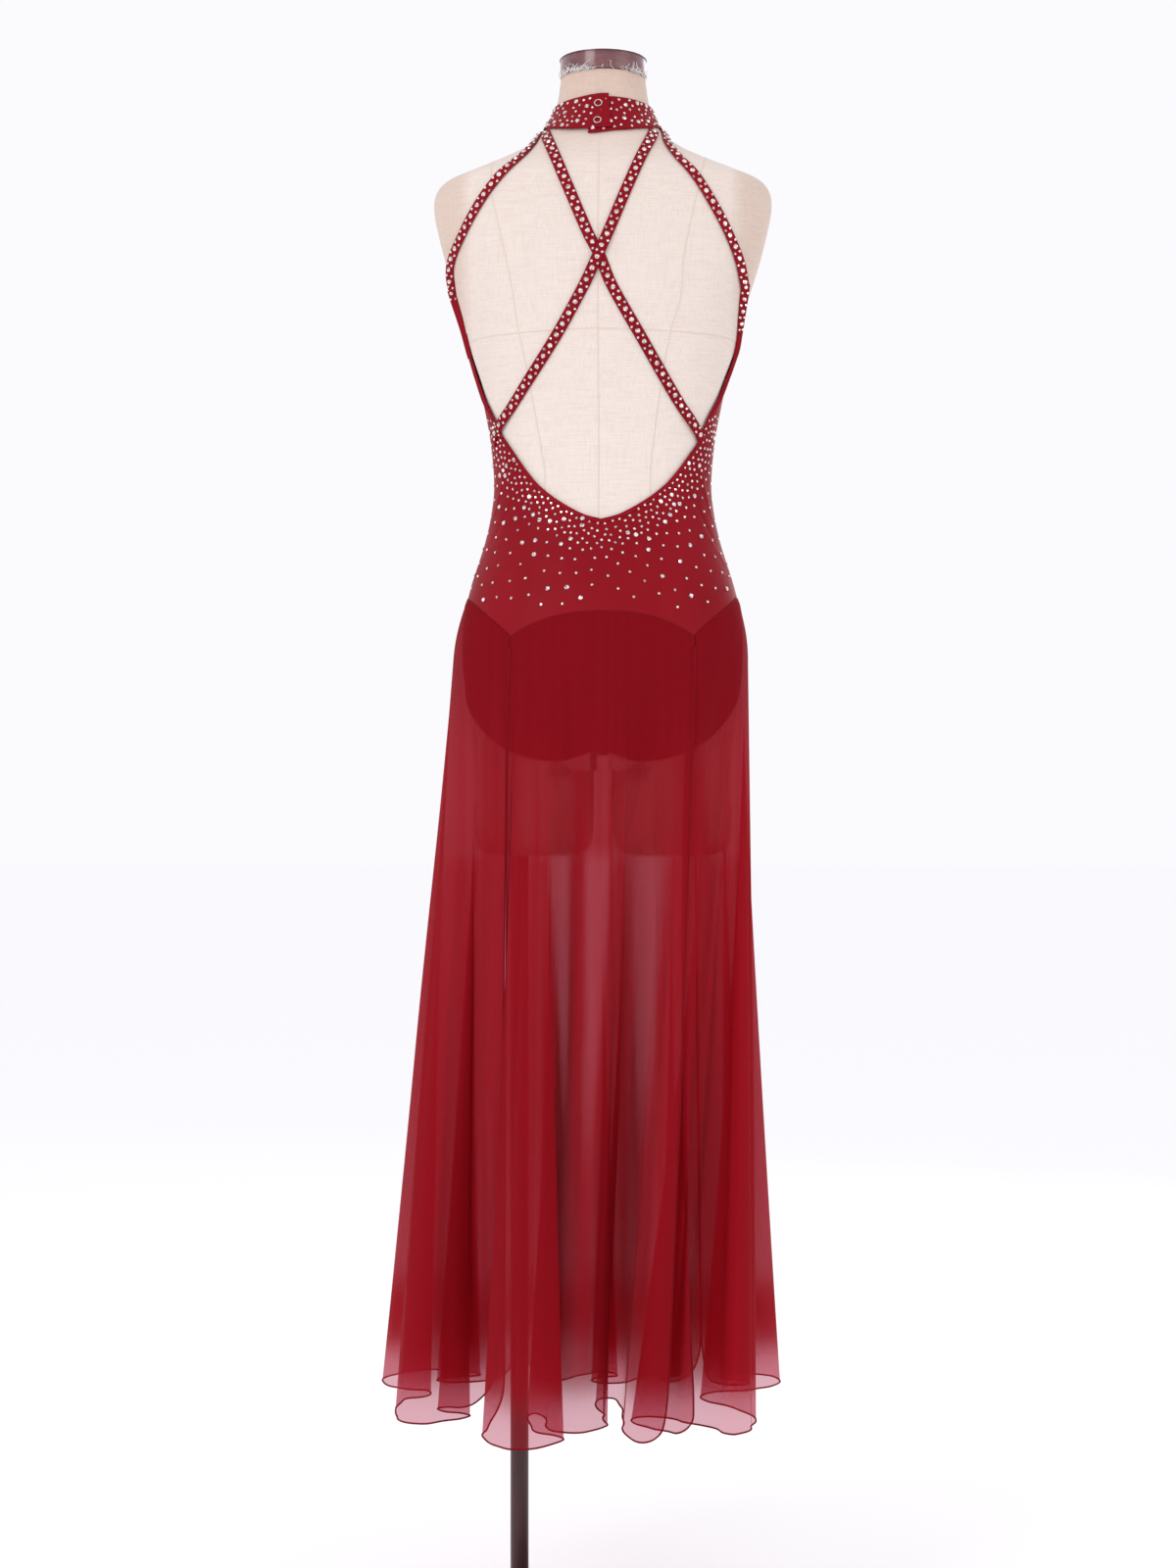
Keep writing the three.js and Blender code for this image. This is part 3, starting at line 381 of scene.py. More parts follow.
tinted(
    linen, worked_out(linen, "MAXIMUM", *neck_tone_and_side_shade),
    ((0, (1, 1, 1)), (0.72, (0.95, 0.94, 0.93)), (0.84, (0.86, 0.79, 0.75)),
     (1, (0.80, 0.69, 0.62))),
    toned.inputs[1],
)
raised(linen, weave, 0.35, 0.0006)

turns_round, form_top, form_foot = 132, FORM_SECTIONS[0][0], FORM_SECTIONS[-1][0]
form_turns = np.arange(0, 360, 360 / turns_round)
form_levels = np.concatenate(
    [np.linspace(form_top, 1.42, 90), np.linspace(1.416, form_foot, 84)]
)
form = ring_body(
    "linen_form", off_form(form_turns[None, :], form_levels[:, None], 0.0), linen
)
stub_squareness, stub_top, stub_bottom = 0.85, STUB_SECTIONS[0][0], STUB_SECTIONS[-1][0]
ups = np.concatenate([np.linspace(stub_top, 0.87, 20), np.linspace(0.865, stub_bottom, 8)])
for side in (1, -1):
    inner, outer, deep = (
        between(STUB_SECTIONS, STUB_COLUMNS, c, ups)[:, None] for c in STUB_COLUMNS[1:]
    )
    angle = np.radians(np.arange(0, 360, 5))[None, :]
    middle, half = (inner + outer) / 2, (outer - inner) / 2
    x = side * (middle + half * signed_power(np.sin(angle), stub_squareness))
    y = deep * signed_power(np.cos(angle), stub_squareness)
    stub = ring_body("stub", np.stack([x, y, ups[:, None] + 0 * x], axis=-1), linen)
    outward(stub)
    outward(form)
    cut_or_join(form, stub, "UNION")

# The slot between the stubs is cut with a body that is arched at its top.
slot_half, slot_middle, slot_foot, slot_reach = 0.010, 0.961, 0.80, 0.2
arch = [(-slot_half, slot_foot), (slot_half, slot_foot)] + [
    (slot_half * math.cos(a), slot_middle + slot_half * math.sin(a))
    for a in np.linspace(0, math.pi, 25)
]
slot_points = [(x, y, z) for y in (slot_reach, -slot_reach) for x, z in arch]
n = len(arch)
slot_faces = [list(range(n)), list(range(2 * n - 1, n - 1, -1))] + [
    [i, i + n, (i + 1) % n + n, (i + 1) % n] for i in range(n)
]
slot = mesh_piece("slot", slot_points, slot_faces, linen)
outward(slot)
cut_or_join(form, slot, "DIFFERENCE")
# The stubs run into the hips with no edge.
blend_low, blend_high, blend_from = 0.905, 0.985, 0.030
only_select(form)
picked(form, "VERT", lambda v: blend_low < v.co.z < blend_high and abs(v.co.x) > blend_from)
bpy.ops.mesh.vertices_smooth(factor=0.5, repeat=60)
bpy.ops.object.mode_set(mode="OBJECT")
bpy.ops.object.shade_smooth_by_angle(angle=math.radians(38))
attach(form, "root")
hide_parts("form_torso")


def distances(path):
    """How far along a path each of its points lies."""
    return np.concatenate([[0], np.cumsum(np.linalg.norm(np.diff(path, axis=0), axis=1))])


def band_faces(count, across, closed=False):
    """Faces round a band of so many steps and points across, with both its ends shut."""
    faces = []
    for i in range(count if closed else count - 1):
        j = (i + 1) % count
        for k in range(across):
            m = (k + 1) % across
            faces.append([i * across + k, i * across + m, j * across + m, j * across + k])
    if not closed:
        faces.append(list(range(across))[::-1])
        faces.append([(count - 1) * across + k for k in range(across)])
    return faces


def ribbon(name, middle, normal, width, height, finish, closed=False, crown=1.0):
    """A flat band along a path on a surface: six points across, the edges turned down."""
    middle, normal = np.asarray(middle), np.asarray(normal)
    if closed:
        ahead = unit(np.roll(middle, -1, axis=0) - np.roll(middle, 1, axis=0))
    else:
        ahead = unit(np.gradient(middle, axis=0))
    aside = unit(np.cross(ahead, normal))
    width = np.broadcast_to(np.asarray(width, float), (len(middle),))[:, None]
    profile = ((-0.5, 0), (-0.46, 0.7), (-0.25, 0.7 + 0.3 * crown), (0.25, 0.7 + 0.3 * crown),
               (0.46, 0.7), (0.5, 0))
    rows = [middle + aside * width * a + normal * height * h for a, h in profile]
    points = np.stack(rows, axis=1)
    count, across = points.shape[:2]
    beside = (np.array([a for a, _ in profile])[None, :] * width).ravel()
    uvs = np.stack([np.repeat(distances(middle), across), beside], axis=1)
    piece = mesh_piece(name, points, band_faces(count, across, closed), finish, uvs)
    outward(piece)
    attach(piece, "root")
    return piece


# The linen's seams: centre back, the shaped panels' seams and the level chest seam, drawn
# as (across, up) on the back, and mirrored plainly on the front.
linen_seam = finish_named("linen_seam", Base_Color=(0.71, 0.60, 0.51, 1), Roughness=0.95)
raised(linen_seam, noise(linen_seam, 1500), 0.3, 0.0004)
SEAM_LINES = {
    "middle": ((0.001, 1.630), (0.001, 1.0)),
    "left": (
        (0.118, 1.606), (0.1155, 1.561), (0.1065, 1.520), (0.0955, 1.470),
        (0.0875, 1.420), (0.0755, 1.359), (0.065, 1.301), (0.0585, 1.256), (0.062, 1.19),
        (0.07, 1.10), (0.074, 1.0),
    ),
    "right": (
        (-0.114, 1.611), (-0.102, 1.551), (-0.090, 1.490), (-0.0863, 1.446),
        (-0.0767, 1.414), (-0.0663, 1.359), (-0.059, 1.308), (-0.0538, 1.256), (-0.058, 1.19),
        (-0.066, 1.10), (-0.07, 1.0),
    ),
}


def along_table(rows, count):
    """Even steps on a smooth curve through (across, up) rows."""
    fallen = np.linspace(rows[0][1], rows[-1][1], count)
    return between(rows, ("across", "up"), "across", fallen), fallen


seam_bed, seam_thick = 0.00005, 0.0003
for seam, rows in SEAM_LINES.items():
    for front in (False, True):
        across, up = along_table(rows, 160)
        turn = turn_at(across, up, front)
        ribbon(
            f"form_seam_{seam}_{'front' if front else 'back'}", off_form(turn, up, seam_bed),
            skin_normal(turn, up), 0.0013, seam_thick, linen_seam,
        )
chest_seam_up, chest_seam_dip = 1.4135, 0.004
turn = np.arange(0, 360, 3)
up = chest_seam_up - chest_seam_dip * np.abs(np.sin(np.radians(turn)))
ribbon(
    "form_seam_chest", off_form(turn, up, seam_bed), skin_normal(turn, up), 0.0012, seam_thick,
    linen_seam, closed=True,
)


# ---- neck cap, pole and base plate ----------------------------------------------------
# A turned and lacquered cap closes the neck over the raw edge of the linen. The form
# stands off centre on a steel pole that is screwed to a round steel plate.

cap_gloss = finish_named("cap_gloss", Roughness=0.22, Coat_Weight=0.5, Coat_Roughness=0.12)
grain = noise(cap_gloss, 22, (1, 6, 6), detail=4, rough=0.6)
tinted(cap_gloss, grain, ((0.3, (0.105, 0.028, 0.032)), (0.7, (0.19, 0.062, 0.068))))
raised(cap_gloss, grain, 0.05, 0.0005)


def cylinder(name, radius, depth, place, sides=96):
    """The start of a turned piece."""
    bpy.ops.object.select_all(action="DESELECT")
    bpy.ops.mesh.primitive_cylinder_add(vertices=sides, radius=radius, depth=depth, location=place)
    bpy.context.object.name = name
    return bpy.context.object


cap_half_width, cap_half_depth, cap_lean = 0.0469, 0.052, -0.012
cap = cylinder("cap", cap_half_width, 0.0194, (0, 0, 1.7120))
picked(cap, "FACE", lambda face: face.normal.z > 0.9)
bpy.ops.mesh.bevel(offset=0.0062, segments=6, profile=0.62)
bpy.ops.mesh.inset(thickness=0.008)
bpy.ops.transform.translate(value=(0, 0, 0.0004))
bpy.ops.object.mode_set(mode="OBJECT")
# With the top's rim still picked, the foot's rim is eased along with it.
for face in cap.data.polygons:
    face.select = face.normal.z < -0.9
bpy.ops.object.mode_set(mode="EDIT")
bpy.ops.mesh.bevel(offset=0.0012, segments=3)
bpy.ops.object.mode_set(mode="OBJECT")
cap.scale = (1, cap_half_depth / cap_half_width, 1)
cap.location.y = cap_lean
bpy.ops.object.transform_apply(location=True, rotation=True, scale=True)
bpy.ops.object.shade_smooth_by_angle(angle=math.radians(50))
cap.data.materials.append(cap_gloss)
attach(cap, "root")
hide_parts("neck_cap")

brown_paint = finish_named("brown_paint", Metallic=0.2, Roughness=0.32)
scuffs = noise(brown_paint, 60, (1, 1, 0.2), detail=6, rough=0.7)
tinted(brown_paint, scuffs, ((0.35, (0.042, 0.012, 0.015)), (0.7, (0.068, 0.024, 0.028))))
raised(brown_paint, scuffs, 0.06, 0.0004)

for name, node, radius, depth, place, rim in (
    ("steel_pole", "pole", 0.010, 0.8461, (0.092, -0.014, 0.42965), 0.0008),
    ("steel_plate", "base_plate", 0.190, 0.006, (0, 0, 0.003), 0.0015),
):
    steel = cylinder(name, radius, depth, place)
    picked(steel, "FACE", lambda face: abs(face.normal.z) > 0.9)
    bpy.ops.mesh.bevel(offset=rim, segments=3)
    bpy.ops.object.mode_set(mode="OBJECT")
    bpy.ops.object.transform_apply(location=True, rotation=True, scale=True)
    bpy.ops.object.shade_smooth_by_angle(angle=math.radians(40))
    steel.data.materials.append(brown_paint)
    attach(steel, "root")
    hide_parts(node)


# ---- raw edge of the linen -----------------------------------------------------------
# The linen is cut off at the cap, and loose pale threads stray up over the cap's wall, in
# thicker tufts at some places and hardly any at others.

loose_thread = finish_named("loose_thread", Roughness=0.9)
tinted(
    loose_thread, noise(loose_thread, 600),
    ((0.3, (0.80, 0.74, 0.72)), (0.7, (0.93, 0.89, 0.88))),
)
linen_top, thread_radius = 1.7021, 0.0003
# Where the tufts stand round the cap, and how far each spreads, in degrees.
TUFTS = ((62, 14), (40, 14), (21, 6), (308, 12), (288, 12), (150, 26), (215, 20))


def over_cap(turn, up, proud):
    """A point just off the cap's wall, or off the linen below it."""
    wall = np.array(
        [math.sin(math.radians(turn)) * (cap_half_width + proud),
         math.cos(math.radians(turn)) * (cap_half_depth + proud) + cap_lean, up]
    )
    return wall if up > linen_top else off_form(turn, up, proud + 0.0004)


random.seed(7)
thread_points, thread_faces = [], []
threads, stray_every, steps = 175, 30, 6
for i in range(threads):
    place, wide = random.choice(TUFTS)
    turn = random.gauss(place, wide * 0.5) if i % stray_every else random.uniform(0, 360)
    length = random.choice((0.003, 0.005, 0.006, 0.010)) * random.uniform(0.6, 1.2)
    lean, curl = random.gauss(0, 9), random.gauss(0, 5)
    base = len(thread_points)
    for k in range(steps):
        share = k / (steps - 1)
        at = over_cap(
            turn + lean * share + curl * math.sin(share * 5), 1.7008 + length * share**0.9,
            0.0003 + 0.0009 * math.sin(share * math.pi) + 0.0004 * share,
        )
        for corner in range(3):
            angle = corner * 2 * math.pi / 3 + turn
            thread_points.append(
                (
                    at[0] + thread_radius * math.cos(angle),
                    at[1] + thread_radius * math.sin(angle),
                    at[2] + thread_radius / 2 * math.sin(angle * 2),
                )
            )
        if k:
            for corner in range(3):
                a, b = base + 3 * (k - 1) + corner, base + 3 * (k - 1) + (corner + 1) % 3
                thread_faces.append([a, b, b + 3, a + 3])
    thread_faces.append([base + 2, base + 1, base])
    thread_faces.append([base + 3 * steps - 3, base + 3 * steps - 2, base + 3 * steps - 1])
frayed = mesh_piece("frayed_linen", thread_points, thread_faces, loose_thread)
outward(frayed)
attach(frayed, "root")


# ---- collar ----------------------------------------------------------------------------
# A doubled band of stretch knit, 40 mm high, laps at centre back, where two ring snaps
# close it. Its edges are turned in and stitched 2 mm from the fold.

knit_wall, form_gap, seam_gap = 0.0012, 0.0013, 0.0003
knit_outside = form_gap + knit_wall

red_knit = finish_named(
    "red_knit", Roughness=0.46, Sheen_Weight=0.02, Sheen_Roughness=0.35,
    Sheen_Tint=(1.0, 0.15, 0.18, 1), Specular_IOR_Level=0.06,
)
ribs = add_node(red_knit, "TexWave", Scale=420, Distortion=1.5, Detail=2)
lead(red_knit, coordinates(red_knit, source="UV"), ribs.inputs["Vector"])
tinted(
    red_knit, noise(red_knit, 9, (1, 1, 0.5), detail=4, rough=0.55),
    ((0.3, (0.205, 0.0030, 0.0085)), (0.7, (0.268, 0.0062, 0.0135))),
)
fine = raised(red_knit, ribs.outputs["Fac"], 0.08, 0.0002)
raised(red_knit, noise(red_knit, 1300, detail=2), 0.10, 0.0002, under=fine)


def grid_quads(rows, columns):
    """Faces between the points of a grid."""
    r, c = np.meshgrid(np.arange(rows - 1), np.arange(columns - 1), indexing="ij")
    a = (r * columns + c).ravel()
    return np.stack([a, a + columns, a + columns + 1, a + 1], axis=1)


def cloth_shell(name, outside, inside, finish):
    """A thin closed shell between two like grids of points, with UVs in metres."""
    rows, columns = outside.shape[:2]
    points = np.concatenate([outside.reshape(-1, 3), inside.reshape(-1, 3)])
    sheet = rows * columns
    quads = grid_quads(rows, columns)
    faces = quads.tolist() + (quads[:, ::-1] + sheet).tolist()
    rim = (
        list(range(columns - 1))
        + [i * columns + columns - 1 for i in range(rows - 1)]
        + [(rows - 1) * columns + i for i in range(columns - 1, 0, -1)]
        + [i * columns for i in range(rows - 1, 0, -1)]
    )
    for i, a in enumerate(rim):
        b = rim[(i + 1) % len(rim)]
        faces.append([a, b, b + sheet, a + sheet])
    uvs = np.tile(cloth_uvs(outside), (2, 1))
    piece = mesh_piece(name, points, faces, finish, uvs)
    outward(piece)
    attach(piece, "root")
    return piece


def cloth_uvs(grid):
    """How far each point lies along and down the cloth, in metres."""
    along = np.linalg.norm(np.diff(grid, axis=1), axis=2)
    down = np.linalg.norm(np.diff(grid, axis=0), axis=2)
    u = np.concatenate([np.zeros((len(grid), 1)), np.cumsum(along, axis=1)], axis=1)
    v = np.concatenate([np.zeros((1, grid.shape[1])), np.cumsum(down, axis=0)], axis=0)
    return np.stack([u, v], axis=-1).reshape(-1, 2)


def ridges(at, rows):
    """Soft ridges and troughs: rows of place, half width and height."""
    return sum(h * np.exp(-(((at - place) / half) ** 2)) for place, half, h in rows)


COLLAR_LOW = (1.629, 1.643, 1.614)  # height at back, sides and front
COLLAR_TOP = (1.670, 1.667, 1.656)
collar_wall = 0.0016
lap = 9  # degrees either side of centre back
climb_over = 50
whole_band = 360 + 2 * lap


def round_edge(edge, turn):
    """An edge's height round the neck, from its heights at back, sides and front."""
    ahead = np.cos(np.radians(turn))
    end = np.where(ahead >= 0, edge[0], edge[2])
    return edge[1] + (end - edge[1]) * ahead**2


def on_collar(along, share, proud):
    """A point of the band: how far along it, and how far up its height."""
    turn = lap - along * whole_band
    climb = 1 - smooth_step((whole_band * (1 - along) - 2 * lap) / climb_over)
    low, top = round_edge(COLLAR_LOW, turn), round_edge(COLLAR_TOP, turn)
    # The upper end sits a little high, and the end below it a little low.
    skew = 0.0026 * smooth_step((along - 0.90) / 0.09) - 0.0030 * smooth_step(1 - along / 0.06)
    up = low + (top - low) * share + skew
    return off_form(turn, up, proud + climb * (collar_wall + seam_gap))


along, share = np.meshgrid(np.linspace(0, 1, 420), np.linspace(0, 1, 30))
folds_turned = 0.00035 * (1 - np.minimum(1, np.minimum(share, 1 - share) / 0.035) ** 2)
stitch_line = ridges(share, ((0.075, 0.018, 0.00025), (0.925, 0.018, 0.00025)))
pucker = 0.00018 * np.sin(along * 620) * np.exp(-(((np.abs(share - 0.5) - 0.4) / 0.12) ** 2))
pull = 0.0004 * ridges(along, ((0.03, 0.006, -1), (0.955, 0.008, -1), (0.5, 0.02, 0.6),
                               (0.31, 0.012, -0.7), (0.72, 0.014, 0.7)))
crest = form_gap + collar_wall - folds_turned - stitch_line + pucker + pull * share
collar = cloth_shell(
    "knit_collar",
    on_collar(along, share, crest),
    on_collar(along, share, form_gap + 0.0002),
    red_knit,
)
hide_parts("collar")


# ---- rhinestones -----------------------------------------------------------------------
# Flat-backed cut stones, pressed on hot in two sizes: a scatter over the collar, single
# and paired stones down the straps, and rows that follow the back opening.

crystal = finish_named(
    "crystal", Metallic=0.9, Roughness=0.1, Coat_Weight=1.0, Coat_Roughness=0.03
)
# Painted glints: fine cells of dark and bright colour in the stones stand in for the reflections
# in their facets.
painted_glint = add_node(crystal, "TexVoronoi", Scale=760)
lead(crystal, coordinates(crystal), painted_glint.inputs["Vector"])
tinted(
    crystal, painted_glint.outputs["Color"],
    ((0.2, (0.24, 0.17, 0.16)), (0.5, (0.76, 0.69, 0.66)), (0.8, (1.0, 0.97, 0.94))),
)


def cut_stone(sides):
    """Points and faces of one stone of unit radius: foot, girdle, and a small table."""
    girdle, crown, table = 0.3, 0.42, 0.55
    stone = cylinder("stone", 1, girdle, (0, 0, girdle / 2), sides)
    picked(stone, "FACE", lambda face: face.normal.z > 0.9)
    bpy.ops.mesh.extrude_region_move(TRANSFORM_OT_translate={"value": (0, 0, crown)})
    bpy.ops.transform.resize(value=(table, table, 1), center_override=(0, 0, 0))
    bpy.ops.object.mode_set(mode="OBJECT")
    bpy.ops.object.transform_apply(location=True, rotation=True, scale=True)
    points = np.array([v.co[:] for v in stone.data.vertices])
    faces = [list(f.vertices) for f in stone.data.polygons]
    bpy.data.objects.remove(stone)
    # An extrusion's parts come in no fixed order, so corners and faces are put in one here.
    order = sorted(range(len(points)), key=lambda i: tuple(points[i].round(4)))
    faces = [[order.index(i) for i in face] for face in faces]
    starts = [face.index(min(face)) for face in faces]
    return points[order], sorted(face[k:] + face[:k] for face, k in zip(faces, starts))


large_cut, small_cut = cut_stone(8), cut_stone(6)
large_stone, small_stone, large_from = 0.0026, 0.0016, 0.0021
random.seed(11)


def set_stones(name, spots):
    """One piece of all the stones at (point, normal, radius)."""
    all_points, all_faces, start = [], [], 0
    for point, normal, radius in spots:
        points, faces = large_cut if radius > large_from else small_cut
        normal = Vector(normal)
        lean = Vector((random.gauss(0, 0.05), random.gauss(0, 0.05), random.gauss(0, 0.05)))
        turned = (normal + lean).to_track_quat("Z", "Y").to_matrix()
        spin = random.uniform(0, math.pi)
        swing = np.array(
            [[math.cos(spin), -math.sin(spin), 0], [math.sin(spin), math.cos(spin), 0], [0, 0, 1]]
        )
        placed = (points * radius) @ swing.T @ np.array(turned).T + np.asarray(point)
        all_points.append(placed)
        all_faces += [[i + start for i in face] for face in faces]
        start += len(points)
    piece = mesh_piece(name, np.concatenate(all_points), all_faces, crystal, smooth=False)
    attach(piece, "root")
    return piece


large_draws, all_draws = 1500, 6000
collar_along = np.array([random.uniform(0.008, 0.955) for _ in range(all_draws)])
collar_share = np.array([random.uniform(0.07, 0.93) for _ in range(all_draws)])
collar_outside, glued_in = form_gap + collar_wall, 0.00005
feet = on_collar(collar_along, collar_share, collar_outside - glued_in)
facing = unit(on_collar(collar_along, collar_share, collar_outside + 0.001) - feet)
collar_stones, taken = [], np.empty((0, 3))
for radius, least, wanted, draws in (
    (large_stone, 0.015, 56, range(0, large_draws)),
    (small_stone, 0.0064, 370, range(large_draws, all_draws)),
):
    for i in draws:
        if len(collar_stones) >= wanted:
            break
        if len(taken) and np.linalg.norm(taken - feet[i], axis=1).min() < least:
            continue
        collar_stones.append((feet[i], facing[i], radius))
        taken = np.concatenate([taken, feet[i : i + 1]])
set_stones("collar_stones", collar_stones)


# ---- ring snaps ------------------------------------------------------------------------
# Two open ring snaps, 9 mm across, are pressed through the collar's upper end.

snap_steel = finish_named("snap_steel", Metallic=1.0, Roughness=0.2)
tinted(
    snap_steel, noise(snap_steel, 350), ((0.3, (0.42, 0.37, 0.34)), (0.7, (0.68, 0.63, 0.60)))
)
snap_radius, snap_wire, snap_flatness = 0.0039, 0.00065, 0.55
for name, node, share in (("ring_snap_upper", "snap_upper", 0.7),
                          ("ring_snap_lower", "snap_lower", 0.19)):
    at = np.float64((360 + lap - 2.5) / whole_band)
    outside = collar_outside + 0.0003
    foot = on_collar(at, np.float64(share), outside)
    facing = unit(on_collar(at, np.float64(share), outside + 0.001) - foot)
    bpy.ops.object.select_all(action="DESELECT")
    bpy.ops.mesh.primitive_torus_add(
        major_segments=48, minor_segments=12, major_radius=snap_radius, minor_radius=snap_wire
    )
    ring = bpy.context.object
    ring.name = name
    bpy.ops.object.mode_set(mode="EDIT")
    bpy.ops.mesh.select_all(action="SELECT")
    bpy.ops.transform.resize(value=(1, 1, snap_flatness), center_override=(0, 0, 0))
    bpy.ops.object.mode_set(mode="OBJECT")
    ring.location = Vector(foot) + Vector(facing) * 0.0006
    ring.rotation_euler = Vector(facing).to_track_quat("Z", "Y").to_euler()
    bpy.ops.object.transform_apply(location=True, rotation=True, scale=True)
    bpy.ops.object.shade_smooth()
    ring.data.materials.append(snap_steel)
    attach(ring, "root")
    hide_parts(node)


# ---- bodice ----------------------------------------------------------------------------
# Stretch knit: a halter front from the collar to the skirt seam, and a low back with a
# deep rounded opening that ends in a shallow point.

POINT_LEFT, POINT_RIGHT, POINT_FRONT = (0.092, 1.084), (-0.100, 1.084), (0.095, 1.086)
back_arch_up, front_arch_up, side_seam_up = 1.111, 1.112, 1.131
seam_left = float(turn_at(*POINT_LEFT))
seam_right = 360 + float(turn_at(*POINT_RIGHT))
seam_front_left = float(turn_at(*POINT_FRONT, front=True))
seam_front_right = 360 - seam_front_left


def seam_up(turn):
    """The skirt seam's height: an arch over each panel, with its feet at the points."""
    turn = np.mod(turn, 360.0)

    def arch(start, end, foot, top):
        share = np.clip((turn - start) / (end - start), 0, 1)
        return foot + (top - foot) * np.sin(np.pi * share) ** 0.8

    return np.select(
        [turn <= seam_left, turn >= seam_right, turn < seam_front_left, turn <= seam_front_right],
        [
            arch(seam_right - 360, seam_left, POINT_LEFT[1], back_arch_up),
            arch(seam_right, seam_left + 360, POINT_LEFT[1], back_arch_up),
            arch(seam_left, seam_front_left, POINT_LEFT[1], side_seam_up),
            arch(seam_front_left, seam_front_right, POINT_FRONT[1], front_arch_up),
        ],
        arch(seam_front_right, seam_right, POINT_RIGHT[1], side_seam_up),
    )


# The opening's edge from the armhole joints down to its point: across and up.
opening_top = 1.303
OPENING_EDGE = (
    (0.105, opening_top), (0.091, 1.282), (0.080, 1.266), (0.066, 1.249), (0.047, 1.233),
    (0.020, 1.217), (0.0, 1.211),
)
opening_middle = -0.002
# Outside the cross straps the top edge climbs along the armhole to the side seam: turn, up.
ARM_EDGE = (
    (56.0, opening_top), (57.5, opening_top), (61.0, 1.3085), (65.0, 1.323), (70.5, 1.336),
    (76.0, 1.348), (80.5, 1.360), (85.0, 1.374), (90.0, 1.392),
)
joint_left = float(turn_at(opening_middle + OPENING_EDGE[0][0], opening_top))
joint_right = float(turn_at(opening_middle - OPENING_EDGE[0][0], opening_top))


def back_top(turn):
    """The back's top edge at any turn, found by closing in on the opening's edge."""
    up = np.full(np.shape(turn), opening_top)
    for _ in range(14):
        up = read_off(OPENING_EDGE, np.abs(on_skin(turn, up)[..., 0] - opening_middle))
    climb = read_off(ARM_EDGE, np.abs(turn))
    return np.where((turn >= joint_left) | (turn <= joint_right), climb, up)


metres_per_degree = 0.0021


def soft_creases(turn, up, rows):
    """Long shallow creases: rows of turn, height, lean, half width, half length and depth."""
    made = 0
    for turn0, up0, lean, wide, long, deep in rows:
        across = (turn - turn0) * metres_per_degree - (up - up0) * lean
        made = made + deep * np.exp(-((across / wide) ** 2) - (((up - up0) / long) ** 2))
    return made


# Back and front end just short of the side seams, and just clear of the skirt seam.
side_gap, back_ease, front_ease = 0.15, 0.0004, 0.0003
back_side = 90 - side_gap
turns = np.concatenate(
    [np.linspace(-back_side, joint_right, 50)[:-1], np.linspace(joint_right, joint_left, 200),
     np.linspace(joint_left, back_side, 50)[1:]]
)
turn, share = np.meshgrid(turns, np.linspace(0, 1, 60))
up = seam_up(turn) + back_ease + (back_top(turn) - seam_up(turn) - back_ease) * share
back_creases = soft_creases(
    turn, up,
    (
        (-70, 1.245, 0.5, 0.004, 0.03, 0.0009), (-62, 1.215, 0.7, 0.004, 0.03, -0.0007),
        (68, 1.240, -0.5, 0.004, 0.03, 0.0009), (58, 1.212, -0.7, 0.005, 0.03, -0.0006),
        (-78, 1.165, 0.9, 0.005, 0.02, 0.0008), (76, 1.160, -0.8, 0.005, 0.02, 0.0008),
        (10, 1.150, 0.3, 0.006, 0.03, 0.0005), (-24, 1.140, -0.3, 0.006, 0.02, 0.0005),
    ),
)
edge_fade = np.clip(np.minimum(share, 1 - share) / 0.08, 0, 1)
crest = knit_outside + back_creases * edge_fade
back = cloth_shell(
    "knit_back", off_form(turn, up, crest), off_form(turn, up, form_gap + 0.0004), red_knit
)
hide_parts("back_bodice")

# How far round from centre front the front's edge lies at each height, in degrees.
front_foot, front_top = 1.100, 1.612
FRONT_ROWS = (
    (front_foot, 90), (1.386, 90), (1.400, 89), (1.418, 83), (1.436, 76), (1.456, 71),
    (1.472, 68), (1.486, 66), (1.503, 62), (1.512, 58), (1.524, 52),
    (1.542, 42), (1.562, 35), (1.582, 33), (1.598, 37), (front_top, 46),
)
arm_ease = 0.0012


def near_armhole(up):
    """Where the front's edge is eased off the shoulder."""
    return smooth_step((up - 1.47) / 0.02) * smooth_step((1.6 - up) / 0.03)


levels = np.concatenate([np.linspace(front_foot, 1.46, 60), np.linspace(1.464, front_top, 56)])
whole, level = np.meshgrid(np.linspace(90 + side_gap, 270 - side_gap, 240), levels)
turn = 180 + (whole - 180) * np.interp(level, *zip(*FRONT_ROWS)) / 90
share = (level - front_foot) / (front_top - front_foot)
up = (
    level
    + (seam_up(turn) + front_ease - front_foot) * (1 - share) ** 3
    + (round_edge(COLLAR_LOW, turn) - seam_gap - front_top) * share**6
)
aside = np.abs(whole - 180) / 90
front_creases = soft_creases(
    turn, up,
    (
        (132, 1.35, 0.9, 0.006, 0.05, 0.0012), (228, 1.35, -0.9, 0.006, 0.05, 0.0012),
        (120, 1.26, 0.6, 0.005, 0.04, -0.0008), (241, 1.255, -0.6, 0.005, 0.04, -0.0008),
        (160, 1.55, 0.4, 0.005, 0.05, 0.001), (200, 1.55, -0.4, 0.005, 0.05, 0.001),
        (176, 1.22, 0.1, 0.008, 0.05, 0.0006), (190, 1.17, 1.2, 0.006, 0.03, 0.0006),
    ),
)
edge_fade = np.clip((1 - aside) / 0.06, 0, 1) * np.clip(np.minimum(share, 1 - share) / 0.05, 0, 1)
crest = knit_outside + front_creases * edge_fade + arm_ease * near_armhole(level) * aside
front = cloth_shell(
    "knit_front", off_form(turn, up, crest), off_form(turn, up, crest - 0.0008), red_knit
)
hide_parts("front_bodice")


def turned_back(normal, share):
    """A facing that leans towards the wearer's back."""
    return unit(normal + np.array([0, 1.3, 0]) * share[:, None])


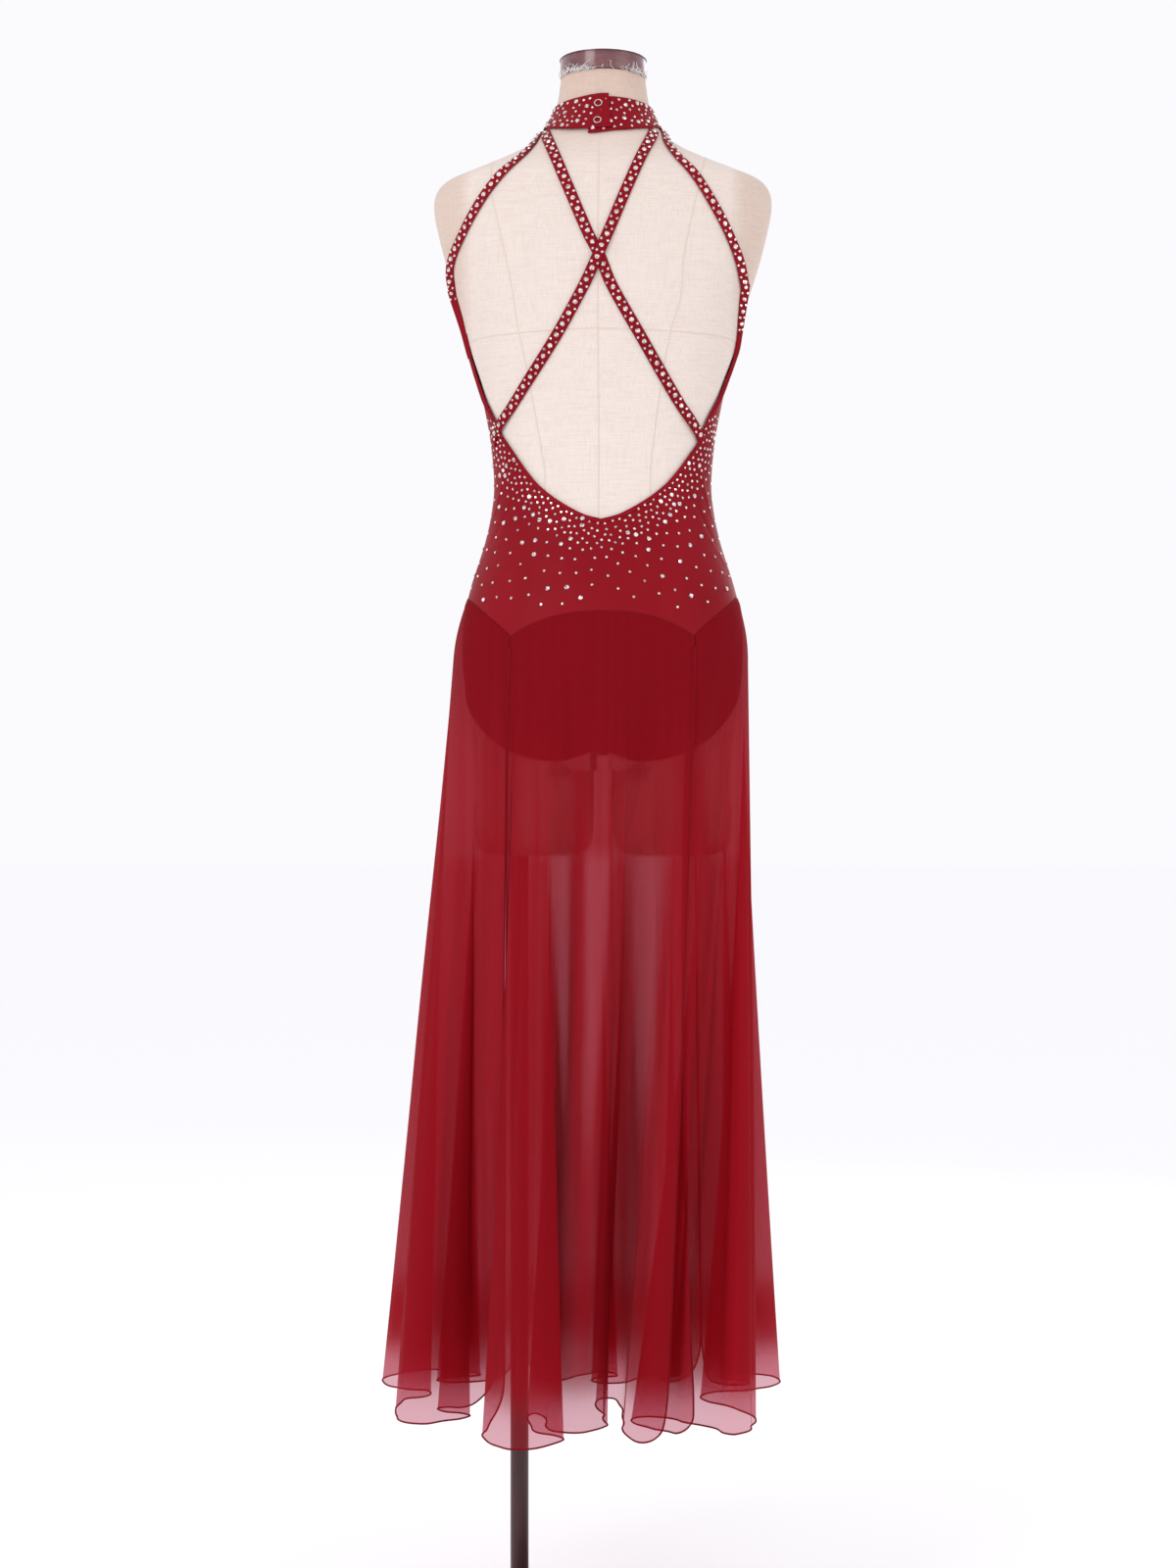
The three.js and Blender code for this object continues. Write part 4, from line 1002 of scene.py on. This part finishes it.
# Narrow turned edges: along the back opening, and along the front's armholes.
opening_turns = np.linspace(joint_right, joint_left, 220)
opening_up = back_top(opening_turns)
opening_path = off_form(opening_turns, opening_up, knit_outside)
opening_normal = skin_normal(opening_turns, opening_up)
opening_inward = unit(np.cross(unit(np.gradient(opening_path, axis=0)), opening_normal))
opening_inward *= np.where(opening_inward[:, 2:3] > 0, -1, 1)
binding_width, binding_thick, binding_inset = 0.005, 0.0009, 0.0023
binding = ribbon(
    "opening_binding", opening_path + opening_inward * binding_inset + opening_normal * 0.0002,
    opening_normal, binding_width, binding_thick, red_knit,
)
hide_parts("back_binding")

for side, name in ((1, "left"), (-1, "right")):
    climb_turn = np.linspace(58.5, 86.4, 90)
    climb_up = read_off(ARM_EDGE, climb_turn)
    arm_up = np.linspace(1.404, 1.606, 170)
    arm_turn = 180 - np.interp(arm_up, *zip(*FRONT_ROWS))
    edge_turn = side * np.concatenate([climb_turn, arm_turn])
    edge_up = np.concatenate([climb_up, arm_up])
    eased = np.concatenate([0 * climb_up, near_armhole(arm_up)])
    lift = knit_outside + 0.0002 + arm_ease * eased
    # Pulled taut, the edge stands up along the side of the form and shows from behind.
    stands = smooth_step((np.abs(edge_turn) - 62) / 12) * smooth_step((1.45 - edge_up) / 0.03)
    ribbon(
        f"armhole_edge_{name}", off_form(edge_turn, edge_up, lift + 0.0011 * stands),
        turned_back(skin_normal(edge_turn, edge_up), stands), 0.0032 + 0.0022 * stands, 0.0006,
        red_knit,
    )


# ---- stones on the back ------------------------------------------------------------------
# Close rows follow the opening's edge, then the stones thin out towards the seam and round
# to the sides. Each is set where it keeps clear of those nearer the edge.

random.seed(23)
# How far apart the stones are set, by how far they are from the opening's edge.
THINNING = ((0, 0.0058), (0.028, 0.0064), (0.040, 0.0108), (0.055, 0.0145), (0.085, 0.0185))
draws, first_row, above_seam, below_edge = 14000, 0.0042, 0.012, 0.0045
stone_turn = np.array([random.uniform(-84, 84) for _ in range(draws)])
stone_up = np.array([random.uniform(1.115, 1.330) for _ in range(draws)])
on_panel = (stone_up > seam_up(stone_turn) + above_seam) & (
    stone_up < back_top(stone_turn) - below_edge
)
stone_turn, stone_up = stone_turn[on_panel], stone_up[on_panel]
stone_feet = off_form(stone_turn, stone_up, knit_outside + 0.0001)
opening_edge = off_form(opening_turns, opening_up, knit_outside)
from_opening = np.array([np.linalg.norm(opening_edge - foot, axis=1).min() for foot in stone_feet])
from_opening -= 0.006 * np.exp(-((stone_feet[:, 0] / 0.04) ** 2)) * (from_opening > 0.012)
apart = np.interp(from_opening, *zip(*THINNING))
ranked = np.argsort(from_opening + 0.0012 * np.sin(stone_turn * 7.3) ** 2)
facing = skin_normal(stone_turn, stone_up)
kept, taken = [], np.full((1, 3), 9.0)
for i in ranked:
    room = np.linalg.norm(taken - stone_feet[i], axis=1).min()
    if from_opening[i] < first_row or room < apart[i]:
        continue
    large = room > 0.0066 and random.random() < (0.16 if from_opening[i] < 0.035 else 0.14)
    kept.append((stone_feet[i], facing[i], large_stone if large else small_stone))
    taken = np.concatenate([taken, stone_feet[i : i + 1]])
set_stones("back_stones", kept)


# ---- straps --------------------------------------------------------------------------------
# Turned tubes of knit pressed flat. One pair crosses between the shoulder blades, the other
# runs round them to the armholes. Single large stones alternate with pairs of small ones.

CROSS_COLUMNS = ("up", "under", "over")
CROSS_STRAPS = (
    (1.6345, 0.0604, -0.0565), (1.624, 0.057, -0.054), (1.606, 0.050, -0.047),
    (1.560, 0.031, -0.028), (1.513, 0.011, -0.009), (1.490, -0.001, 0.001),
    (1.460, -0.013, 0.015), (1.404, -0.045, 0.047), (1.344, -0.080, 0.088),
    (1.310, -0.102, 0.112), (1.299, -0.1065, 0.1145),
)
SIDE_COLUMNS = ("up", "left", "right")
SIDE_STRAPS = (
    (1.639, 0.067, -0.066), (1.630, 0.070, -0.069), (1.619, 0.074, -0.072),
    (1.608, 0.081, -0.078), (1.597, 0.091, -0.086), (1.580, 0.108, -0.101),
    (1.555, 0.127, -0.117), (1.520, 0.148, -0.136), (1.492, 0.161, -0.147),
    (1.466, 0.160, -0.152),
)
crossing_up = 1.491
strap_thick, strap_crown, stone_seat, strap_stone = 0.0011, 0.7, 0.0010, 0.0027
pair_aside, stone_stray, stone_step, strap_step = 0.0033, 0.0003, 0.0066, 0.002
# A side strap's whole cut runs on this far past its stated end, into the armhole.
run_length = 0.08


def strap_path(table, columns, column):
    """Even steps down a strap's middle line on the form: turn and height."""
    fine_up = np.linspace(table[0][0], table[-1][0], 900)
    turn = turn_at(between(table, columns, column, fine_up), fine_up)
    length = distances(on_skin(turn, fine_up))
    at = np.linspace(0, length[-1], int(length[-1] / strap_step))
    return np.interp(at, length, turn), np.interp(at, length, fine_up), length[-1]


def point_along(at, length, rows):
    return np.array([np.interp(at, length, rows[:, k]) for k in range(3)])


side_straps = {}
for name, table, columns, column, node, width, plain in (
    ("strap_cross_under", CROSS_STRAPS, CROSS_COLUMNS, "under", "cross_strap_under", 0.012, 0.004),
    ("strap_cross_over", CROSS_STRAPS, CROSS_COLUMNS, "over", "cross_strap_over", 0.012, 0.004),
    ("strap_side_left", SIDE_STRAPS, SIDE_COLUMNS, "left", "side_strap_left", 0.011, 0.003),
    ("strap_side_right", SIDE_STRAPS, SIDE_COLUMNS, "right", "side_strap_right", 0.011, 0.003),
):
    turn, up, length = strap_path(table, columns, column)
    hump = (knit_wall + seam_gap) * (1 - smooth_step((np.abs(up - crossing_up) - 0.014) / 0.02))
    lift = form_gap + 0.0002 + (hump if column == "over" else 0)
    facing = skin_normal(turn, up)
    if column in ("under", "over"):
        # The lower ends lie on the back's edge.
        lift = lift + 0.0016 * smooth_step((1.334 - up) / 0.014)
    else:
        stands = smooth_step((1.520 - up) / 0.05)
        facing = turned_back(facing, stands)
        lift = lift + 0.0022 * stands
    path = off_form(turn, up, lift)
    strap = ribbon(name, path, facing, width, strap_thick, red_knit, crown=strap_crown)
    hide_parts(node)
    if column in ("under", "over"):
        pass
    else:
        side_straps[column] = (strap, width, length + run_length)
    aside = unit(np.cross(unit(np.gradient(path, axis=0)), facing))
    seats = path + facing * stone_seat
    spots = []
    walked = np.linspace(0, length, len(path))
    for i, at in enumerate(np.arange(0.006, length - plain, stone_step)):
        if column == "under" and abs(np.interp(at, walked, up) - crossing_up) < 0.007:
            continue
        point, side, normal = (point_along(at, walked, rows) for rows in (seats, aside, facing))
        if i % 2 == 0:
            spots.append((point + side * random.gauss(0, stone_stray), normal, strap_stone))
        else:
            for way in (-1, 1):
                stray = random.gauss(0, stone_stray)
                spots.append((point + side * (way * pair_aside + stray), normal, small_stone))
    set_stones(name + "_stones", spots)


# Past its stated end each side strap narrows and runs on into the armhole's turned edge. The
# left one's stones end sooner. Each row is turn, up.
run_top, run_foot, run_width, run_narrowing = 1.468, 1.396, 0.0108, 0.0045
run_stone, run_small_stone, run_pair_closing = 0.0024, 0.0015, 0.0018
STRAP_RUNS = (
    ("left", 8, ((82.5, run_top), (85.0, 1.452), (87.5, 1.434), (88.6, 1.416), (87.6, run_foot))),
    ("right", 42,
     ((-69.0, run_top), (-72.5, 1.452), (-77.5, 1.434), (-83.0, 1.416), (-87.0, run_foot))),
)
for name, stones_end, rows in STRAP_RUNS:
    up = np.linspace(run_top, run_foot, 60)
    turn = between(rows, ("turn", "up"), "turn", up)
    slim = smooth_step((run_top - up) / (run_top - run_foot))
    path = off_form(turn, up, form_gap + 0.0024 - 0.0004 * slim)
    facing = turned_back(skin_normal(turn, up), np.ones(len(up)))
    run = ribbon(
        f"strap_run_{name}", path, facing, run_width - run_narrowing * slim, strap_thick,
        red_knit, crown=strap_crown,
    )
    aside = unit(np.cross(unit(np.gradient(path, axis=0)), facing))
    seats = path + facing * stone_seat
    spots = []
    for i, k in enumerate(range(2, stones_end, 5)):
        if i % 2 == 0:
            spots.append((seats[k], facing[k], run_stone))
        else:
            for way in (-1, 1):
                beside = aside[k] * way * (pair_aside - run_pair_closing * slim[k])
                spots.append((seats[k] + beside, facing[k], run_small_stone))
    set_stones(f"strap_run_{name}_stones", spots)
    strap, width, length = side_straps[name]


# ---- brief ---------------------------------------------------------------------------------
# The brief is sewn into the skirt seam. Its leg edges are turned over elastic and stitched,
# and the crotch piece joins back and front between the thigh stubs.

# The leg edges, from the gusset out to the side seams: turn away from the middle, and up.
LEG_EDGE_BACK = (
    (0, 0.966), (5, 0.9605), (10, 0.9555), (17, 0.955), (28, 0.9595), (45, 0.973), (65, 0.9995),
    (90, 1.032),
)
LEG_EDGE_FRONT = ((0, 0.962), (8, 0.968), (20, 0.990), (45, 1.022), (70, 1.038), (90, 1.034))
for name, node, front, table in (
    ("knit_brief_back", "brief_back", False, LEG_EDGE_BACK),
    ("knit_brief_front", "brief_front", True, LEG_EDGE_FRONT),
):
    middle = 180 if front else 0
    away, share = np.meshgrid(np.linspace(-back_side, back_side, 260), np.linspace(0, 1, 40))
    turn = middle + away
    low = read_off(table, np.abs(away))
    top = seam_up(turn) - 0.0002
    up = top + (low - top) * share
    elastic = 0.0006 * np.exp(-((((up - low) - 0.004) / 0.0035) ** 2))
    gathers = 0.0003 * np.sin(turn * 2.9 + 3 * np.sin(turn * 0.21)) * np.exp(
        -(((up - low) / 0.012) ** 2)
    )
    crest = knit_outside - 0.0001 + elastic * 0.4 + gathers * 0.5
    shell = cloth_shell(
        name, off_form(turn, up, crest), off_form(turn, up, form_gap + 0.0002), red_knit
    )
    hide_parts(node)

# The gusset lies under the arch of the slot, from the back's lower edge to the front's.
arch_radius, gusset_half, gusset_wall = 0.0081, 0.0072, 0.0008
across, reach = np.meshgrid(np.linspace(-gusset_half, gusset_half, 14), np.linspace(1, -1, 60))
up = slot_middle + np.sqrt(arch_radius**2 - across**2)
depth = np.where(
    reach > 0,
    between(FORM_SECTIONS, FORM_COLUMNS, "back", up),
    between(FORM_SECTIONS, FORM_COLUMNS, "front", up),
)
grid = np.stack([across, reach * (depth + 0.0009), up], axis=-1)
gusset = cloth_shell("knit_gusset", grid, grid - np.array([0, 0, gusset_wall]), red_knit)
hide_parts("brief_gusset")


# ---- skirt -----------------------------------------------------------------------------------
# Four panels of sheer chiffon hang from the skirt seam in deep soft folds. Their side edges
# hang free from the seam's low points, the lower corners are rounded, and all edges are
# rolled and overlocked in matching thread.

red_chiffon = finish_named(
    "red_chiffon", Roughness=0.8, Sheen_Weight=0.06, Sheen_Roughness=0.5,
    Sheen_Tint=(1.0, 0.2, 0.25, 1), Specular_IOR_Level=0.06,
)
slubs = noise(red_chiffon, 1, (140, 6, 1), source="UV")
shade = noise(red_chiffon, 7, (1, 1, 0.35))
tinted(
    red_chiffon, worked_out(red_chiffon, "ADD", slubs, shade),
    ((0.35, (0.285, 0.0045, 0.0125)), (0.65, (0.355, 0.0080, 0.0180))),
)
raised(red_chiffon, noise(red_chiffon, 1700, detail=2, source="UV"), 0.15, 0.0003)
# The open weave lets light straight through, reddened by the threads, and the threads
# themselves glow a little with the light that falls on their far side.
gaps = add_node(red_chiffon, "BsdfTransparent", Color=(1.0, 0.73, 0.81, 1))
glow = add_node(red_chiffon, "BsdfTranslucent", Color=(0.50, 0.007, 0.018, 1))
threads = add_node(red_chiffon, "MixShader", Fac=0.48)
# How closely the gathers draw the weave together is each panel's own attribute.
cover = add_node(red_chiffon, "MixShader")
gather = add_node(red_chiffon, "Attribute")
gather.attribute_name = "gather"
chiffon_nodes = red_chiffon.node_tree.nodes
for output, socket in (
    (gather.outputs["Fac"], cover.inputs["Fac"]),
    (chiffon_nodes["Principled BSDF"].outputs["BSDF"], threads.inputs[1]),
    (glow.outputs["BSDF"], threads.inputs[2]),
    (gaps.outputs["BSDF"], cover.inputs[1]),
    (threads.outputs["Shader"], cover.inputs[2]),
    (cover.outputs["Shader"], chiffon_nodes["Material Output"].inputs["Surface"]),
):
    lead(red_chiffon, output, socket)

rolled_thread = finish_named("rolled_thread", Roughness=0.7, Specular_IOR_Level=0.06)
whip = add_node(rolled_thread, "TexWave", Scale=260)
lead(rolled_thread, coordinates(rolled_thread, (1, 0.4, 1), "UV"), whip.inputs["Vector"])
tinted(
    rolled_thread, whip.outputs["Fac"],
    ((0.2, (0.160, 0.0022, 0.007)), (0.8, (0.26, 0.0045, 0.012))),
)
raised(rolled_thread, whip.outputs["Fac"], 0.5, 0.0003)

hem_up, corner_radius = 0.246, 0.050
hips_low, folds_from = 0.960, 1.060
spread_middle, spread_half, spread_back, spread_front = 0.032, 0.226, 0.170, 0.205
fold_growth, edge_growth, edge_reach = 1.3, 2.4, 0.060
skirt_top_proud = knit_outside + seam_gap + 0.0005
edge_clear = 0.35

# Each panel's hem in plan (across, back), from one free edge by its folds to the other.
BACK_HEM = (
    (0.103, 0.062), (0.117, 0.088), (0.122, 0.128), (0.110, 0.170), (0.088, 0.190),
    (0.064, 0.186), (0.044, 0.164), (0.035, 0.142), (0.046, 0.126), (0.064, 0.112),
    (0.073, 0.078), (0.079, 0.038), (0.073, 0.018), (0.061, 0.038), (0.058, 0.078),
    (0.048, 0.106), (0.030, 0.112), (0.011, 0.107), (-0.005, 0.080), (-0.002, 0.030),
    (0.008, -0.020), (0.006, -0.058), (-0.008, -0.062), (-0.018, -0.020), (-0.023, 0.040),
    (-0.025, 0.095), (-0.036, 0.140), (-0.052, 0.158), (-0.066, 0.150), (-0.072, 0.128),
)
LEFT_HEM = (
    (0.118, -0.010), (0.144, -0.009), (0.168, -0.013), (0.181, -0.003), (0.172, 0.013),
    (0.153, 0.020), (0.142, 0.032), (0.150, 0.046), (0.166, 0.058), (0.184, 0.076),
    (0.206, 0.070), (0.222, 0.034), (0.226, -0.010), (0.220, -0.048), (0.200, -0.078),
    (0.204, -0.100), (0.228, -0.110), (0.252, -0.132), (0.261, -0.160), (0.246, -0.190),
    (0.218, -0.206), (0.186, -0.208), (0.158, -0.200), (0.150, -0.186), (0.168, -0.176),
    (0.192, -0.170), (0.198, -0.154), (0.178, -0.144), (0.150, -0.150), (0.128, -0.168),
    (0.106, -0.208),
)
RIGHT_HEM = (
    (-0.112, 0.098), (-0.107, 0.113), (-0.093, 0.118), (-0.076, 0.106), (-0.056, 0.088),
    (-0.038, 0.066), (-0.036, 0.044), (-0.050, 0.026), (-0.070, 0.032), (-0.088, 0.056),
    (-0.106, 0.068), (-0.121, 0.084), (-0.130, 0.106), (-0.144, 0.114), (-0.160, 0.096),
    (-0.168, 0.062), (-0.160, 0.016), (-0.138, -0.028), (-0.114, -0.052), (-0.106, -0.078),
    (-0.122, -0.104), (-0.152, -0.112), (-0.182, -0.132), (-0.196, -0.164),
    (-0.186, -0.196), (-0.162, -0.206), (-0.138, -0.200), (-0.130, -0.186),
    (-0.144, -0.174), (-0.160, -0.164), (-0.158, -0.148), (-0.138, -0.142),
    (-0.120, -0.160), (-0.106, -0.208),
)
FRONT_HEM = (
    (0.106, -0.186), (0.090, -0.202), (0.072, -0.212), (0.058, -0.202), (0.066, -0.190),
    (0.086, -0.178), (0.088, -0.162), (0.072, -0.154), (0.052, -0.164), (0.036, -0.190),
    (0.016, -0.206), (-0.004, -0.200), (-0.008, -0.188), (0.012, -0.178), (0.020, -0.160),
    (0.008, -0.146), (-0.014, -0.150), (-0.030, -0.176), (-0.048, -0.200), (-0.070, -0.212),
    (-0.086, -0.202), (-0.080, -0.190), (-0.062, -0.180), (-0.058, -0.166),
    (-0.072, -0.158), (-0.092, -0.166), (-0.106, -0.186),
)


def hem_curve(table, shares):
    """Points at even shares of length on a smooth curve through the hem's rows."""
    p = np.array(table)
    ends = np.concatenate([[2 * p[0] - p[1]], p, [2 * p[-1] - p[-2]]])
    fine = []
    for i in range(len(p) - 1):
        p0, p1, p2, p3 = ends[i : i + 4]
        d0, d1, d2 = (max(np.hypot(*(b - a)) ** 0.5, 1e-4) for a, b in
                      ((p0, p1), (p1, p2), (p2, p3)))
        m1 = ((p1 - p0) / d0 - (p2 - p0) / (d0 + d1) + (p2 - p1) / d1) * d1
        m2 = ((p2 - p1) / d1 - (p3 - p1) / (d1 + d2) + (p3 - p2) / d2) * d1
        t = np.linspace(0, 1, 40, endpoint=i == len(p) - 2)[:, None]
        fine.append(
            (2 * t**3 - 3 * t**2 + 1) * p1 + (t**3 - 2 * t**2 + t) * m1
            + (3 * t**2 - 2 * t**3) * p2 + (t**3 - t**2) * m2
        )
    fine = np.concatenate(fine)
    length = distances(fine)
    at = shares * length[-1]
    plan = np.stack([np.interp(at, length, fine[:, k]) for k in (0, 1)], axis=-1)
    return plan, length[-1]


def kept_outside(points):
    """The chiffon never comes closer to the hips or the stubs than the brief allows."""
    level = np.maximum(points[..., 2], hips_low)
    part = {c: between(FORM_SECTIONS, FORM_COLUMNS, c, level) for c in FORM_COLUMNS[1:]}
    proud = skirt_top_proud + 0.001
    depth = np.where(points[..., 1] > part["lean"], part["back"], part["front"]) + proud
    y = points[..., 1] - part["lean"]
    aside = np.abs(points[..., 0]) / (part["half"] + proud)
    size = aside ** part["square"] + (np.abs(y) / depth) ** part["square"]
    grow = np.where(size < 1, np.maximum(size, 1e-9) ** (-1 / part["square"]), 1)
    fade = smooth_step((points[..., 2] - stub_bottom + 0.010) / 0.040)
    grow = 1 + (grow - 1) * fade
    return np.stack([points[..., 0] * grow, part["lean"] + y * grow, points[..., 2]], axis=-1)


# The weave's cover by height: open at the hem, close in the folds, and one layer thick
# over the thighs. The front's panels hang flatter, and between the back's folds single
# layers stand as light wedges: across at top and foot, half width, top and foot.
COVER = (
    (0.240, 0.45), (0.274, 0.53), (0.302, 0.84), (0.336, 0.92), (0.840, 0.93), (0.868, 0.83),
    (0.960, 0.82), (1.130, 0.84),
)
LIGHT_WEDGES = (
    (0.040, 0.036, 0.010, 0.848, 0.540), (0.001, 0.014, 0.016, 0.848, 0.470),
    (-0.053, -0.044, 0.019, 0.848, 0.490),
)
# Where the cloth doubles over: across at top and foot, half width, top, foot, added cover.
DARK_FOLDS = (
    (0.109, 0.118, 0.0120, 1.060, 0.560, 0.09), (0.061, 0.066, 0.0022, 0.990, 0.560, 0.08),
    (0.087, 0.090, 0.0050, 1.040, 0.560, 0.05), (0.018, 0.016, 0.0060, 0.980, 0.600, 0.09),
    (-0.013, -0.016, 0.0022, 0.975, 0.640, 0.08), (-0.060, -0.063, 0.0024, 0.990, 0.620, 0.06),
    (-0.099, -0.108, 0.0170, 1.060, 0.420, 0.11), (-0.031, -0.030, 0.0015, 0.980, 0.850, 0.05),
)


flatter_front, wedge_light, fold_shade_depth = 0.17, 0.26, 0.022
least_cover, most_cover = 0.4, 0.95


def gathered(points):
    """The weave's cover at each point of a panel."""
    x, y, up = points[..., 0], points[..., 1], points[..., 2]
    cover = read_off(COVER, up)
    behind = y > -0.02
    middle_heights = smooth_step((up - 0.33) / 0.06) * smooth_step((0.87 - up) / 0.03)
    cover = cover - flatter_front * smooth_step((-0.02 - y) / 0.06) * middle_heights
    for top_across, foot_across, half, top, foot in LIGHT_WEDGES:
        share = np.clip((up - foot) / (top - foot), 0, 1)
        middle = foot_across + (top_across - foot_across) * share
        wedge = np.exp(-(((x - middle) / (half * (0.25 + 0.75 * share))) ** 4))
        wedge = wedge * smooth_step(share * 1.8) * middle_heights * behind
        cover = cover - wedge_light * wedge
    for top_across, foot_across, half, top, foot, added in DARK_FOLDS:
        share = (up - foot) / (top - foot)
        middle = foot_across + (top_across - foot_across) * share
        fold = np.exp(-(((x - middle) / half) ** 4))
        ends = smooth_step(share * 4) * smooth_step((1 - share) * 4)
        cover = cover + added * fold * ends * behind
    # Painted shade: fine vertical bands of more and less cover behind stand in for the shading of
    # the pleats.
    painted_fold_shade = np.sin(x * 380 + 2.5 * np.sin(x * 90 + up * 1.5))
    cover = cover + fold_shade_depth * painted_fold_shade * smooth_step((up - 0.30) / 0.06) * behind
    return np.clip(cover, least_cover, most_cover)


def rolled_hem(name, path, facing, radius=0.0010, sides=6):
    """A thin round roll along a panel's free edge."""
    ahead = unit(np.gradient(path, axis=0))
    aside = unit(np.cross(ahead, facing))
    above = np.cross(aside, ahead)
    angle = np.arange(sides) * 2 * math.pi / sides
    points = (
        path[:, None, :]
        + radius * np.cos(angle)[None, :, None] * aside[:, None, :]
        + radius * np.sin(angle)[None, :, None] * above[:, None, :]
    )
    around = np.tile(angle * radius, len(path))
    uvs = np.stack([np.repeat(distances(path), sides), around], axis=1)
    piece = mesh_piece(name, points, band_faces(len(path), sides), rolled_thread, uvs)
    outward(piece)
    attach(piece, "root")
    return piece


random.seed(5)
crease_every, tucked_in = 0.036, 0.009
for name, node, start, end, spread_from, spread_to, hem, columns in (
    ("chiffon_back", "skirt_back", seam_left, seam_right - 360, 16.8, -28.8, BACK_HEM, 480),
    ("chiffon_side_left", "skirt_side_left", seam_left, seam_front_left, 17.2, 161, LEFT_HEM, 440),
    ("chiffon_side_right", "skirt_side_right", seam_right, seam_front_right, 330.8, 217,
     RIGHT_HEM, 440),
    ("chiffon_front", "skirt_front", seam_front_left, seam_front_right, 161, 217, FRONT_HEM, 400),
):
    share = np.linspace(0, 1, columns + 1)[None, :]
    level = np.concatenate([np.linspace(0, 0.12, 22)[:-1], np.linspace(0.12, 1, 96)])[:, None]
    clear = math.copysign(edge_clear, end - start)
    turn = start + clear + (end - start - 2 * clear) * share
    top_up = seam_up(turn) - seam_gap
    low, hem_length = hem_curve(hem, share[0])
    swing = np.radians(spread_from + (spread_to - spread_from) * share)
    wide_y = np.cos(swing) * np.where(np.cos(swing) > 0, spread_back, spread_front)
    wide_x = spread_middle + spread_half * np.sin(swing)
    from_edge = np.minimum(share, 1 - share) * hem_length
    inset = np.maximum(0, corner_radius - from_edge)
    rise = corner_radius - np.sqrt(corner_radius**2 - inset**2)
    fall = top_up - hem_up
    drop = level * (fall - rise) / fall
    up = top_up - drop * fall
    turn_grid = np.broadcast_to(turn, up.shape)
    hang = off_form(
        turn_grid, np.maximum(up, folds_from), skirt_top_proud + 0.004 * smooth_step(drop * 12)
    )
    near_edge = 1 - smooth_step(from_edge / edge_reach)
    folded = drop ** (fold_growth + (edge_growth - fold_growth) * near_edge)
    grid = np.stack(
        [
            hang[..., 0] * (1 - drop) + wide_x * (drop - folded) + low[None, :, 0] * folded,
            hang[..., 1] * (1 - drop) + wide_y * (drop - folded) + low[None, :, 1] * folded,
            up,
        ],
        axis=-1,
    )
    facing = unit(np.cross(np.gradient(grid, axis=1), np.gradient(grid, axis=0)))
    creases = 0
    for _ in range(int(hem_length / crease_every)):
        place = random.uniform(0.02, 0.98)
        lean = random.gauss(0, 0.03)
        wide = random.uniform(0.008, 0.02) / hem_length
        deep = random.choice((-1, 1)) * random.uniform(0.001, 0.0032)
        begin, fade_out = random.uniform(0.05, 0.5), random.uniform(0.15, 0.5)
        body = smooth_step((level - begin) / fade_out)
        creases = creases + deep * body * np.exp(
            -(((share - place - lean * (level - 0.6)) / (wide * (0.7 + 0.6 * level))) ** 2)
        )
    if name == "chiffon_side_right":
        # Its edge hangs tucked behind the back panel's.
        tuck = (1 - smooth_step(share * hem_length / edge_reach)) * smooth_step(drop * 6)
        grid[..., 0] += tucked_in * tuck
    edge_calm = np.clip(np.minimum(share, 1 - share) / 0.03, 0, 1)
    grid = grid + facing * (creases * edge_calm)[..., None]
    grid = kept_outside(grid)
    grid[0] = off_form(turn[0], up[0], skirt_top_proud)
    quads = grid_quads(*grid.shape[:2])
    faces = quads[:, :: 1 if end > start else -1].tolist()
    panel = mesh_piece(name, grid, faces, red_chiffon, cloth_uvs(grid))
    weave = panel.data.attributes.new("gather", "FLOAT", "POINT")
    weave.data.foreach_set("value", gathered(grid).ravel().astype(np.float32))
    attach(panel, "root")
    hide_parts(node)
    edge = np.concatenate([grid[2:, 0], grid[-1, 1:-1], grid[:1:-1, -1]])
    edge_facing = np.concatenate([facing[2:, 0], facing[-1, 1:-1], facing[:1:-1, -1]])
    roll = rolled_hem(name + "_hem", edge, edge_facing)

# The seam that joins bodice, brief and skirt shows as a fine pressed line.
turn = np.linspace(0, 360, 700, endpoint=False)
ribbon(
    "skirt_seam", off_form(turn, seam_up(turn) + 0.0002, knit_outside),
    skin_normal(turn, seam_up(turn)), 0.0013, 0.0006, rolled_thread, closed=True,
)
